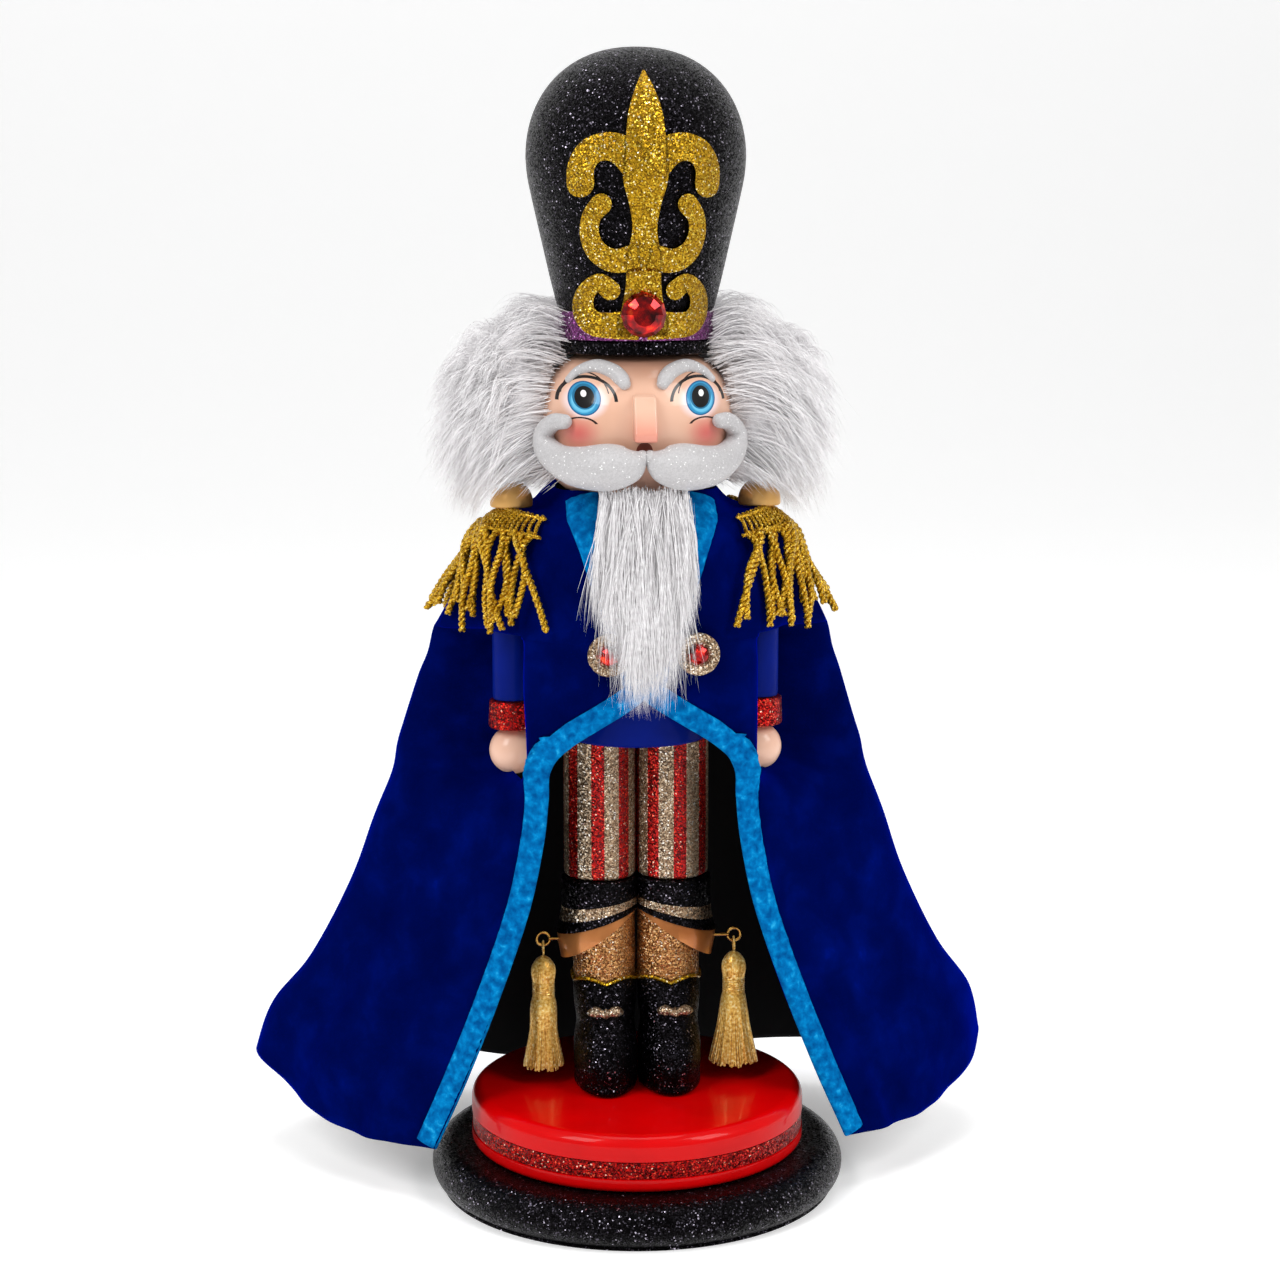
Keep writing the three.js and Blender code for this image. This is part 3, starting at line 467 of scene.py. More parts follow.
FUR_WHITES = [(0.3, "e4e1e3"), (0.5, "f1eff0"), (0.7, "fdfcfd")]
BACKING_WHITES = [(0.3, "dedbdd"), (0.7, "f3f1f3")]
BULLION_GOLDS = [(0.3, "7a560a"), (0.48, "bb8d16"), (0.6, "e3bb3c"), (0.75, "fff0a0")]
THREAD_GOLDS = [(0.3, "b57e22"), (0.46, "e4b14a"), (0.58, "f7d377"), (0.72, "fff4c4")]
BRASSES = [(0.3, "8a6026"), (0.7, "c79a50")]
STEELS = [(0.3, "8c8f93"), (0.7, "b4b7bb")]
RUBY_REDS = [(0.35, "3a0003"), (0.5, "8e0007"), (0.62, "d8120a"), (0.75, "ff5a20")]
BEECH_TONES = [(0.35, "a87f4f"), (0.6, "cfa97a"), (0.75, "e0c297")]
silky = {"Roughness": 0.28, "Metallic": 0.4, "Sheen_Weight": 0.2}
polished = {"Roughness": 0.08, "Metallic": 0.9, "Coat_Weight": 0.4}
white_fur = speckled("white_fur", FUR_WHITES, 2.2, 0.02, Roughness=0.7, Sheen_Weight=0.2)
fur_backing = speckled("fur_undercoat", BACKING_WHITES, 1.6, 0.6, Roughness=0.9)
bullion = speckled("gold_bullion_wire", BULLION_GOLDS, 0.7, 0.35, Roughness=0.28, Metallic=0.9)
gold_thread = speckled("gold_rayon_thread", THREAD_GOLDS, 1.1, 0.15, **silky)
brass = speckled("turned_brass", BRASSES, 1.5, 0.03, Roughness=0.25, Metallic=1.0)
steel = speckled("drawn_steel", STEELS, 1.2, 0.03, Roughness=0.3, Metallic=1.0)
ruby = speckled("red_acrylic_stone", RUBY_REDS, 4.5, 0.0, **polished)


def beech():
    """Beech: pale, fine grain that runs along the piece, with short flecks."""
    finish, tree, shader, place = finish_named("oiled_beech", "c9a273", Roughness=0.5)
    along = add(tree, "ShaderNodeMapping", {"Vector": place, "Scale": (900, 900, 60)})
    grain = add(tree, "ShaderNodeTexNoise", {"Vector": along.outputs[0], "Scale": 1, "Detail": 4})
    tone = add(tree, "ShaderNodeValToRGB", {"Fac": grain.outputs[0]}, BEECH_TONES)
    dress(tree, shader, grain.outputs[0], 0.08, tone.outputs[0])
    return finish


wood = beech()
for side in SIDES:
    for name, finish in (("base_screw", steel), ("leg_dowel", wood), ("arm_dowel", wood)):
        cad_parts[f"{name}_{side}"].data.materials.clear()
        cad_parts[f"{name}_{side}"].data.materials.append(finish)
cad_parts["jaw_pin"].data.materials.clear()
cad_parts["jaw_pin"].data.materials.append(steel)
print("hidden fittings keep their solids and take wood and steel")

# %% [markdown]
# ## Making and keeping a piece
#
# Most of the figure is turned on a lathe, so a profile of radius and height is spun round once.
# Profiles pass through a few measured points: a Catmull-Rom curve rounds them as a turner's gouge
# would. A finished mesh is merged, made to face outwards, scaled to metres and put on its body.

# %% Shape helpers
def spline_at(points, t):
    """A Catmull-Rom curve through points, at t counted in points."""
    i = min(int(t), len(points) - 2)
    t -= i
    p, q, r, s = (points[min(max(i + k, 0), len(points) - 1)] for k in (-1, 0, 1, 2))
    return 0.5 * (2 * q + (r - p) * t + (2 * p - 5 * q + 4 * r - s) * t * t + (3 * q - p - 3 * r + s) * t**3)


def smooth_line(points, steps=8):
    """The same curve as a list of points, of any number of axes."""
    through = [Vector(point) for point in points]
    return [tuple(spline_at(through, i / steps)) for i in range(steps * (len(points) - 1) + 1)]


def arc(centre, radius, start, end, steps=10):
    """Points on an arc, its angles in degrees, as (radius from the axis, height)."""
    angles = [math.radians(start + (end - start) * i / steps) for i in range(steps + 1)]
    return [(centre[0] + radius * math.cos(a), centre[1] + radius * math.sin(a)) for a in angles]


def turned(profile, x=0.0, y=FIGURE_Y, sides=96):
    """A profile spun once round an upright axis."""
    bm = bmesh.new()
    points = [bm.verts.new((radius, 0, z)) for radius, z in profile]
    for a, b in zip(points, points[1:]):
        bm.edges.new((a, b))
    bmesh.ops.spin(
        bm,
        geom=bm.verts[:] + bm.edges[:],
        cent=(0, 0, 0),
        axis=(0, 0, 1),
        angle=2 * math.pi,
        steps=sides,
        use_merge=True,
    )
    bmesh.ops.remove_doubles(bm, verts=bm.verts, dist=0.001)
    bmesh.ops.translate(bm, vec=(x, y, 0), verts=bm.verts)
    return bm


def push_out(bm, outline, by):
    """A face on an outline, pushed out to a board."""
    face = bm.faces.new([bm.verts.new(point) for point in outline])
    grown = bmesh.ops.extrude_face_region(bm, geom=[face])
    moved = [v for v in grown["geom"] if isinstance(v, bmesh.types.BMVert)]
    bmesh.ops.translate(bm, vec=by, verts=moved)


def slab(outline, thickness):
    """An outline of (y, z) points made a board that lies across X."""
    bm = bmesh.new()
    push_out(bm, [(-thickness / 2, y + FIGURE_Y, z) for y, z in outline], (thickness, 0, 0))
    return bm


def saw_off(bm, at, away):
    """Saws off what lies on the far side of a plane, and closes the cut."""
    geometry = bm.verts[:] + bm.edges[:] + bm.faces[:]
    bmesh.ops.bisect_plane(bm, geom=geometry, plane_co=at, plane_no=away, clear_outer=True)
    bmesh.ops.holes_fill(bm, edges=[e for e in bm.edges if e.is_boundary], sides=0)


def rings(sections, sides=48):
    """Rings stacked along Z and bridged: each is (x, y, z, half width, reach forwards, reach back)."""
    bm = bmesh.new()
    loops = []
    for x, y, z, half, forwards, back in sections:
        made = bmesh.ops.create_circle(bm, segments=sides, radius=1)["verts"]
        for v in made:
            reach = forwards if v.co.y < 0 else back
            v.co = (x + half * v.co.x, y + reach * v.co.y, z)
        loops.append(list({e for v in made for e in v.link_edges}))
    for low, high in zip(loops, loops[1:]):
        bmesh.ops.bridge_loops(bm, edges=low + high)
    bmesh.ops.holes_fill(bm, edges=loops[0] + loops[-1], sides=0)
    return bm


def strands(name, lines, radius, resolution=1, ribbon=False):
    """Many lines of (x, y, z, thickness share) points, as round wires or flat ribbons, in one mesh."""
    curve = bpy.data.curves.new(name, "CURVE")
    curve.dimensions = "3D"
    curve.twist_mode = "MINIMUM"
    if ribbon:
        curve.extrude = radius
    else:
        curve.bevel_depth = radius
        curve.bevel_resolution = resolution
        curve.use_fill_caps = True
    for line in lines:
        spline = curve.splines.new("POLY")
        spline.points.add(len(line) - 1)
        spline.points.foreach_set("co", [c for p in line for c in (p[0], p[1], p[2], 1)])
        spline.points.foreach_set("radius", [p[3] for p in line])
        if ribbon:
            spline.points.foreach_set("tilt", [random.uniform(0, math.pi)] * len(line))
    holder = bpy.data.objects.new(name, curve)
    mesh = bpy.data.meshes.new_from_object(holder)
    bpy.data.objects.remove(holder)
    bpy.data.curves.remove(curve)
    bm = bmesh.new()
    bm.from_mesh(mesh)
    bpy.data.meshes.remove(mesh)
    return bm


def keep(bm, name, body, slot, finish, *nodes, edge=0.0, levels=0, closed=True, sharp=35.0, flat=False):
    """Finishes a mesh drawn in millimetres: merges, turns outwards, scales, rides, names and prints it."""
    if closed:
        bmesh.ops.remove_doubles(bm, verts=bm.verts, dist=0.002)
        bmesh.ops.recalc_face_normals(bm, faces=bm.faces)
    bmesh.ops.scale(bm, vec=(MM, MM, MM), verts=bm.verts)
    for face in bm.faces:
        face.smooth = not flat
    mesh = bpy.data.meshes.new(name)
    bm.to_mesh(mesh)
    bm.free()
    mesh.materials.append(finish)
    shape = bpy.data.objects.new(name, mesh)
    bpy.context.scene.collection.objects.link(shape)
    if edge:
        bevel = shape.modifiers.new("rounded edges", "BEVEL")
        bevel.width = edge * MM
        bevel.segments = 3
        bevel.limit_method = "ANGLE"
        bevel.angle_limit = math.radians(sharp)
        bevel.harden_normals = True
    elif not flat and not levels:
        mesh.set_sharp_from_angle(angle=math.radians(sharp))
    if levels:
        rounder = shape.modifiers.new("rounder", "SUBSURF")
        rounder.levels = levels
        rounder.render_levels = levels
    if body:
        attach(shape, body)
    if nodes:
        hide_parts(*nodes)
    print(name, len(mesh.polygons), "faces on", body)
    return shape


def cut(shape, tool_bm, operation="DIFFERENCE", own=False):
    """Cuts a kept piece by a shape drawn in millimetres, and applies the cut to its mesh."""
    bmesh.ops.recalc_face_normals(tool_bm, faces=tool_bm.faces)
    bmesh.ops.scale(tool_bm, vec=(MM, MM, MM), verts=tool_bm.verts)
    mesh = bpy.data.meshes.new("cutter")
    tool_bm.to_mesh(mesh)
    tool_bm.free()
    tool = bpy.data.objects.new("cutter", mesh)
    bpy.context.scene.collection.objects.link(tool)
    step = shape.modifiers.new("cut", "BOOLEAN")
    step.operation = operation
    step.solver = "EXACT"
    step.use_self = own
    step.object = tool
    others = [m for m in shape.modifiers if m != step]
    for other in others:
        other.show_viewport = False
    bpy.context.view_layer.update()
    graph = bpy.context.evaluated_depsgraph_get()
    shape.data = bpy.data.meshes.new_from_object(shape.evaluated_get(graph))
    for other in others:
        other.show_viewport = True
    shape.modifiers.remove(step)
    bpy.data.objects.remove(tool)
    shape.data.set_sharp_from_angle(angle=math.radians(35))
    print("  cut", shape.name, "to", len(shape.data.polygons), "faces")
    return shape


# %% [markdown]
# ## Stand
#
# Two discs of wood, one on the other. The lower one is rounded over and coated in black glitter. The
# upper one is lacquered red, with a shallow groove turned in its side that holds a band of red glitter.

# %% Stand
plinth_low, plinth_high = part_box("base_lower")
disc_low, disc_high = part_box("base_upper")
PLINTH_R = plinth_high.x / MM
PLINTH_TOP = plinth_high.z / MM
DISC_R = disc_high.x / MM
DISC_BOTTOM, DISC_TOP = disc_low.z / MM, disc_high.z / MM

plinth = [(0, 0), (PLINTH_R - 4, 0)]
plinth += arc((PLINTH_R - 9, 9), 9, -62, 90, 20)
plinth += [(0, PLINTH_TOP)]
keep(turned(plinth, y=0, sides=192), "plinth", "figure", "black_glitter", black_glitter, "base_lower", sharp=50)

GROOVE_LOW, GROOVE_HIGH, GROOVE_DEEP = 23.5, 31, 0.9
disc = [(0, DISC_BOTTOM), (DISC_R - 3, DISC_BOTTOM)]
disc += arc((DISC_R - 2.4, DISC_BOTTOM + 2.4), 2.4, -90, 0, 6)
disc += [(DISC_R, GROOVE_LOW), (DISC_R - GROOVE_DEEP, GROOVE_LOW + 0.3)]
disc += [(DISC_R - GROOVE_DEEP, GROOVE_HIGH - 0.3), (DISC_R, GROOVE_HIGH)]
disc += arc((DISC_R - 5, DISC_TOP - 5), 5, 0, 90, 12)
disc += [(0, DISC_TOP)]
keep(turned(disc, y=0, sides=192), "disc", "figure", "red_lacquer", red_lacquer, "base_upper")

inner = DISC_R - GROOVE_DEEP
band = [(inner - 0.5, GROOVE_LOW + 0.4), (inner + 0.5, GROOVE_LOW + 0.5)]
band += [(inner + 0.6, GROOVE_HIGH - 0.5), (inner - 0.5, GROOVE_HIGH - 0.4), (inner - 0.5, GROOVE_LOW + 0.4)]
keep(turned(band, y=0, sides=192), "disc_glitter_band", "figure", "red_glitter", red_glitter)

# %% [markdown]
# ## Boots
#
# Each boot is carved and coated in one. The shoe is a stack of rings, from a flat sole with a welt up
# over a round toe cap and a high instep to the ankle. The shin is turned, and its foot is hidden by the
# shoe's scalloped top, which a gold line follows.

# %% Boots
SOLE_Z = 41.3


def scallop(angle):
    """How far the shoe's top edge dips: five scallops a turn."""
    return 2.2 * (1 - abs(math.sin(2.5 * angle))) - 1


for side, sign in SIDES.items():
    x = sign * BOOT_X
    shoe = [
        (x, 0, SOLE_Z, 12.2, 22.5, 14.5),
        (x, 0, SOLE_Z + 0.7, 13, 24, 15.5),
        (x, 0, SOLE_Z + 3.2, 13, 24.2, 15.6),
        (x, 0, SOLE_Z + 3.9, 12.5, 23.4, 15),
        (x, 0, SOLE_Z + 8, 13.1, 24.8, 15.2),
        (x, 0, SOLE_Z + 14, 13.1, 24.6, 15.2),
        (x, 0, SOLE_Z + 20, 13, 22, 15),
        (x, 0.5, SOLE_Z + 25, 11.9, 17.6, 14.5),
        (x, 1, SOLE_Z + 27.6, 11.8, 15.6, 14),
        (x, 1.5, SOLE_Z + 33, 12.8, 16.2, 13.6),
        (x, 3, SOLE_Z + 39, 13.1, 16, 12.9),
        (x, FIGURE_Y, SOLE_Z + 44, 13.1, 13.9, 13.4),
        (x, FIGURE_Y, SOLE_Z + 44.8, 12.8, 12.9, 12.8),
        (x, FIGURE_Y, SOLE_Z + 41, 11, 11, 11),
    ]
    bm = rings(shoe, 64)
    for v in bm.verts:
        if v.co.z > SOLE_Z + 38:
            angle = math.atan2(v.co.x - x, FIGURE_Y - v.co.y)
            v.co.z -= scallop(angle)
    keep(bm, f"shoe_{side}", "figure", "black_glitter", black_glitter, f"boot_{side}", levels=1)

    line = []
    for i in range(121):
        angle = 2 * math.pi * i / 120
        height = SOLE_Z + 44.4 - scallop(angle - math.pi)
        line.append((x + 13.2 * math.sin(angle), FIGURE_Y + 13.5 * math.cos(angle), height, 1))
    keep(strands("line", [line], 0.75), f"shoe_top_line_{side}", "figure", "gold_glitter", gold_glitter)

    shin = [(0, 82), (12.7, 82), (12.9, 95), (12.7, 105), (12.9, 118), (12.9, 127.4), (0, 127.4)]
    shin = [shin[0], *smooth_line(shin[1:-1]), shin[-1]]
    keep(turned(shin, x), f"shin_{side}", "figure", "stripe_glitter", bronze_glitter, f"boot_{side}")

# %% [markdown]
# ## Buckles
#
# A pair of small gold bars lies across each instep, pinched in the middle like a bow. Each is a swept
# line whose thickness swells at both ends, laid against the shoe.

# %% Buckles
for side, sign in SIDES.items():
    x = sign * (BOOT_X + 1)
    bow = [(x - 6.6, -14.2, 74.6, 0.7), (x - 4.2, -15.7, 75.4, 1.25)]
    bow += [(x - 1.4, -16.3, 74.9, 0.9), (x, -16.5, 74.8, 1.2)]
    bow += [(2 * x - a, b, c, d) for a, b, c, d in reversed(bow[:-1])]
    bm = strands("bow", [smooth_line(bow, 6)], 1.8, 3)
    keep(bm, f"bow_buckle_{side}", "figure", "gold_glitter", champagne_glitter, f"boot_buckle_{side}")

# %% [markdown]
# ## Boot cuffs
#
# The wide turned-down cuffs are turned rings, sawn below at a slant so that the two together rise to a
# point in the middle. A copper-painted lining flares out from under each and is sawn lower still.

# %% Boot cuffs
CUFF_LINE, LINING_LINE = (114.8, -0.31), (114.4, -0.66)
CUFF_GAP = 0.15


def fitted(bm, sign, line):
    """A ring sawn along a line that falls away from the middle of the figure, and where the two rings meet."""
    height, slope = line
    saw_off(bm, (0, 0, height), -Vector((sign * -slope, 0, 1)).normalized())
    saw_off(bm, (sign * CUFF_GAP, 0, 0), (-sign, 0, 0))
    return bm


for side, sign in SIDES.items():
    x = sign * LEG_X
    flare = smooth_line([(18.6, 94), (18.6, 103), (16.7, 110), (15.9, 117), (15.9, 125.5)])
    ring = [(14.9, 94), *flare, *arc((14.6, 126.6), 1.3, 20, 90, 4)]
    ring += [(13.4, 127.9), (13.4, 126), (14.9, 118), (14.9, 94)]
    bm = fitted(turned(ring, x), sign, CUFF_LINE)
    keep(bm, f"cuff_{side}", "figure", "black_glitter", cuff_bands, f"boot_cuff_{side}", edge=0.5)

    funnel = [(14.8, 92), (16, 92), (17.5, 100), (17.8, 104), (15.4, 112), (14.8, 114), (14.8, 92)]
    bm = fitted(turned(funnel, x), sign, LINING_LINE)
    keep(bm, f"cuff_lining_{side}", "figure", "brass", copper_paint, f"boot_cuff_{side}", edge=0.4)

# %% [markdown]
# ## Trousers
#
# Two short turned columns that almost touch. They narrow a little to the waist.

# %% Trousers
for side, sign in SIDES.items():
    x = sign * LEG_X
    leg = smooth_line([(14.75, 130.5), (14.8, 140), (14.8, 152), (14.75, 168), (14.7, 185)], 6)
    leg = [(0, 128.2), *arc((12.75, 130.2), 2, -90, 0, 5), *leg, (14, 185.8), (0, 185.8)]
    keep(turned(leg, x), f"trousers_{side}", "figure", "stripe_glitter", trouser_stripes, f"trouser_leg_{side}")

# %% [markdown]
# ## Body, arms and hands
#
# The body is one turned block under blue paint, with a groove sawn in its top for the jaw lever. The
# arms are turned too, and end in a glittered cuff and a ball for a hand. A gold dome caps each shoulder.

# %% Body
torso = [(0, 186.2), (28.6, 186.2), (29.8, 187.2)]
torso += smooth_line([(30.2, 189), (31, 210), (32, 232), (34, 254), (34.4, 266), (31, 275), (25.5, 281)], 6)
torso += [(22, 283.6), (0, 283.6)]
body_block = keep(turned(torso), "body_block", "figure", "blue_paint", blue_paint, "torso")
cut(body_block, slab([(-60, 268), (-60, 300), (60, 300), (60, 280.5), (2, 280.5), (-30, 272)], 14.4))

# %% Arms, cuffs, hands and shoulder domes
for side, sign in SIDES.items():
    x = sign * 50
    sleeve = [(0, 202), (8, 202), (8.2, 204), (8.2, 262), *arc((1.2, 266.5), 7, 0, 90, 10), (0, 273.5)]
    keep(turned(sleeve, x, sides=64), f"sleeve_{side}", "figure", "blue_paint", blue_paint, f"arm_{side}")
    wrist = [(0, 190), *arc((8.8, 191.2), 1.2, -90, 0, 4), (9.7, 200)]
    wrist += [*arc((8.5, 200.5), 1.2, 0, 90, 4), (0, 201.7)]
    bm = turned(wrist, x, sides=64)
    keep(bm, f"wrist_band_{side}", "figure", "red_glitter", red_glitter, f"sleeve_cuff_{side}")
    palm = [*arc((0, 180.6), 9.8, -90, 67, 28), (0, 189.7)]
    bm = turned(palm, x, sides=64)
    keep(bm, f"ball_hand_{side}", "figure", "flesh_paint", plain_flesh, f"hand_{side}")
    dome = [(0, 279.8), (8.2, 279.8), (8.6, 280.3), (8.6, 281.8), *arc((0, 281.8), 8.6, 0, 90, 16)]
    bm = turned(dome, x, sides=64)
    keep(bm, f"gold_dome_{side}", "figure", "satin_gold", satin_gold, f"shoulder_dome_{side}")

# %% [markdown]
# ## Head
#
# One turned ball, whose underside is sawn through from front to back so that the jaw lever can swing.
# The nose is a wedge glued on, with its front edges eased.

# %% Head and nose
HEAD_POINTS = [(29, 287.4), (33.5, 292), (36.6, 298), (38.7, 305)]
HEAD_POINTS += [(39.5, 314), (38.3, 323), (34.6, 331), (29.5, 337)]
head = [(0, 286), (26, 286), *smooth_line(HEAD_POINTS, 8), (24, 340.5), (0, 340.5)]
ball = keep(turned(head, sides=128), "head_ball", "figure", "flesh_paint", face_paint, "head")
SLOT = [(-60, 270), (-60, 300.4), (-19, 300.4), (-19, 296.5), (5, 296.5), (60, 309), (60, 270)]
cut(ball, slab(SLOT, 14.4))


def head_radius(z):
    """The ball's radius at a height."""
    pairs = list(zip(HEAD_POINTS, HEAD_POINTS[1:]))
    (r0, z0), (r1, z1) = next((p for p in pairs if p[0][1] <= z <= p[1][1]), pairs[-1])
    return r0 + (r1 - r0) * (z - z0) / (z1 - z0)


WEDGE = [(-34, 327), (-41.2, 325.8), (-47.6, 311.6), (-46.9, 308.5), (-34, 308.5)]
bm = slab(WEDGE, 8.8)
keep(bm, "nose_wedge", "figure", "flesh_paint", nose_paint, "nose", edge=0.9, sharp=20)

# %% [markdown]
# ## Moustache and brows
#
# Both are modelled in resin before they are glittered: fat where they meet and curled up to a round
# tip. Each is a line through a few points whose thickness changes on the way, so one sweep makes it.

# %% Moustache and brows
LIP = [
    (1.6, -40.5, 302.5, 3.2),
    (6.5, -41, 300.2, 7.2),
    (14.5, -38.2, 299, 9.1),
    (25, -31.5, 298.6, 8),
    (32.5, -23.5, 300.8, 6.2),
    (37.2, -17, 305.5, 4.9),
    (37.6, -15.8, 311, 4),
    (34.2, -19.5, 315, 3.5),
    (30.2, -24, 315.6, 2.9),
]
ARCH = [(28, 331.5, 1.5), (24, 334.8, 2.1), (17.5, 336.8, 2.7)]
ARCH += [(11.5, 335, 3), (8.6, 332.4, 3), (7.4, 330.4, 2.4)]


def blob(points, steps=10):
    """A swept solid of the points' own thicknesses, closed round at both ends."""
    line = smooth_line(points, steps)
    first, last = line[0], line[-1]
    for end, towards in ((first, line[1]), (last, line[-2])):
        away = (Vector(end[:3]) - Vector(towards[:3])).normalized()
        caps = []
        for i in range(1, 7):
            angle = math.pi / 2 * i / 6
            spot = Vector(end[:3]) + away * end[3] * math.sin(angle)
            caps.append((*spot, max(end[3] * math.cos(angle), 0.05)))
        line = [*reversed(caps), *line] if end is first else [*line, *caps]
    return strands("sweep", [line], 1, 10)


for side, sign in SIDES.items():
    half = [(sign * x, y, z, r) for x, y, z, r in LIP]
    bm = blob(half)
    saw_off(bm, (sign * 0.06, 0, 0), (-sign, 0, 0))
    keep(bm, f"whisker_{side}", "figure", "white_glitter", white_glitter, f"moustache_{side}", sharp=60)

    brow = []
    for x, z, r in ARCH:
        y = FIGURE_Y - math.sqrt(head_radius(z) ** 2 - x * x) - 0.9
        brow.append((sign * x, y, z, r))
    keep(blob(brow), f"eyebrow_{side}", "figure", "white_glitter", white_glitter, f"brow_{side}", sharp=60)

# %% [markdown]
# ## Hat
#
# A tall busby, turned, flared and domed, on a black rim with a purple glitter ribbon between. The rim,
# the ribbon and the crown are three turnings with their edges eased.

# %% Hat
RIM_LOW, RIM_HIGH, RIBBON_TOP = 340.9, 346.3, 357.5
WIDE_Z, WIDE_R, HAT_TOP = 417, 43.4, 459.5
rim = [(0, RIM_LOW), *arc((28.9, RIM_LOW + 0.9), 0.9, -90, 0, 4)]
rim += [*arc((29.2, RIM_HIGH - 0.6), 0.6, 0, 90, 4), (0, RIM_HIGH)]
keep(turned(rim, sides=128), "busby_rim", "figure", "black_glitter", black_glitter, "hat_rim")

ribbon = [(28.9, RIM_HIGH + 0.3), (30.5, RIM_HIGH + 0.3), (30.7, RIM_HIGH + 0.7)]
ribbon += [(31.3, RIBBON_TOP - 0.4), (31.1, RIBBON_TOP), (28.9, RIBBON_TOP), (28.9, RIM_HIGH + 0.3)]
keep(turned(ribbon, sides=128), "busby_ribbon", "figure", "purple_glitter", purple_glitter, "hat_band")


def crown_line(out=0.0):
    """The crown's outline from the ribbon to the top, moved out by a distance."""
    side = [(30.8, 357.8), (33.7, 369), (36.7, 382), (41, 401), (42.8, 410), (WIDE_R, WIDE_Z)]
    rise = smooth_line(side, 6)[:-1]
    dome = []
    for i in range(25):
        angle = math.pi / 2 * i / 24
        radius = WIDE_R * math.cos(angle) ** 0.9 if i < 24 else 0
        dome.append((radius, WIDE_Z + (HAT_TOP - WIDE_Z) * math.sin(angle) ** 0.95))
    return [(r + out if r else 0, z + (out if z > WIDE_Z else 0)) for r, z in [*rise, *dome]]


crown = [(0, RIM_HIGH + 0.3), (28.6, RIM_HIGH + 0.3), (28.6, RIBBON_TOP + 0.3), *crown_line()]
keep(turned(crown, sides=160), "busby_crown", "figure", "black_glitter", black_glitter, "hat_crown")

# %% [markdown]
# ## Gold scroll
#
# The scroll is cut from gold glitter card and glued round the front of the hat. Each of its strokes is
# drawn flat with a width that swells and narrows, and pushed back as a thick board. Cutting all of the
# boards together by a thin skin round the crown leaves the card, bent to the hat, in one piece.

# %% Gold scroll
STEM = [(0, 448.5, 0.6), (0, 441, 7.5), (0, 432, 13), (0, 420, 15.5), (0, 408, 17)]
STEM += [(0, 398, 12), (0, 389, 9.5), (0, 378, 13), (0, 366, 14), (0, 350, 20)]
CURLS = [
    [(3, 412, 12), (8, 417.5, 11.5), (14, 419.8, 10.5), (20.5, 418, 10), (24, 412.5, 9.8), (24.2, 406, 10)],
    [(2, 379, 10), (11, 377.2, 9), (17.5, 380.5, 8), (20.6, 387, 7), (20, 393.8, 7), (16.6, 398.4, 8)],
    [
        (2, 353, 12),
        (12, 352.5, 10),
        (19, 353.5, 9.4),
        (22.4, 358.5, 8),
        (21.6, 365, 7),
        (17, 369, 6.6),
        (12.6, 366, 7.6),
    ],
]


def stroke(bm, points, round_end=True):
    """One stroke as a board: its line is walked on both sides, and its last end is rounded."""
    line = smooth_line(points, 8)
    near, far = [], []
    for i, (x, z, width) in enumerate(line):
        ahead = line[min(i + 1, len(line) - 1)]
        behind = line[max(i - 1, 0)]
        along = Vector((ahead[0] - behind[0], ahead[1] - behind[1])).normalized()
        near.append((x - along.y * width / 2, z + along.x * width / 2))
        far.append((x + along.y * width / 2, z - along.x * width / 2))
    tip = []
    if round_end:
        x, z, width = line[-1]
        for i in range(1, 8):
            angle = math.pi * i / 8
            side, reach = math.cos(angle), math.sin(angle)
            across, ahead = side * width / 2, reach * width / 2
            tip.append((x - along.y * across + along.x * ahead, z + along.x * across + along.y * ahead))
    push_out(bm, [(x, -60, z) for x, z in (*near, *tip, *reversed(far))], (0, 60, 0))


CARD_IN, CARD_OUT = 0.35, 1.5
boards = bmesh.new()
stroke(boards, STEM, round_end=False)
for sign in SIDES.values():
    for curl in CURLS:
        stroke(boards, [(sign * x, z, width) for x, z, width in curl])
skirt = [(30.9, RIM_HIGH + 0.8), (31.5, RIBBON_TOP)]
outside = [(r + CARD_OUT if r else 0, z) for r, z in skirt] + crown_line(CARD_OUT)[1:]
inside = [(r + CARD_IN, z) for r, z in skirt] + crown_line(CARD_IN)[1:]
skin = [*outside[:-1], *reversed(inside[:-1]), outside[0]]
scroll = keep(turned(skin, sides=160), "gold_scroll", "figure", "gold_glitter", gold_glitter, "hat_ornament")
cut(scroll, boards, "INTERSECT", own=True)

# %% [markdown]
# ## Stones
#
# Acrylic stones with a flat table and two rows of facets. Flat shading is what makes facets read, so
# these pieces are left unsmoothed. Spun with few sides, they need no other cutting.

# %% Stones and buttons
def facing_front(bm, at):
    """Turns a piece that was spun round an upright axis to face forwards, and puts it in its place."""
    forwards = Vector((0, 0, 1)).rotation_difference(Vector((0, -1, 0))).to_matrix()
    bmesh.ops.rotate(bm, verts=bm.verts, cent=(0, 0, 0), matrix=forwards)
    bmesh.ops.translate(bm, vec=at, verts=bm.verts)
    return bm


def stone(radius, depth, sides, at):
    """A faceted stone that faces forwards."""
    profile = [(0, 0), (radius, 0), (radius, depth * 0.2), (radius * 0.82, depth * 0.66)]
    profile += [(radius * 0.5, depth), (0, depth)]
    return facing_front(turned(profile, 0, 0, sides), at)


gem_low, gem_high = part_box("hat_gem")
gem_at = ((gem_low.x + gem_high.x) / 2 / MM, gem_high.y / MM, (gem_low.z + gem_high.z) / 2 / MM)
keep(stone(8.8, 5, 12, gem_at), "hat_stone", "figure", "ruby", ruby, "hat_gem", flat=True)

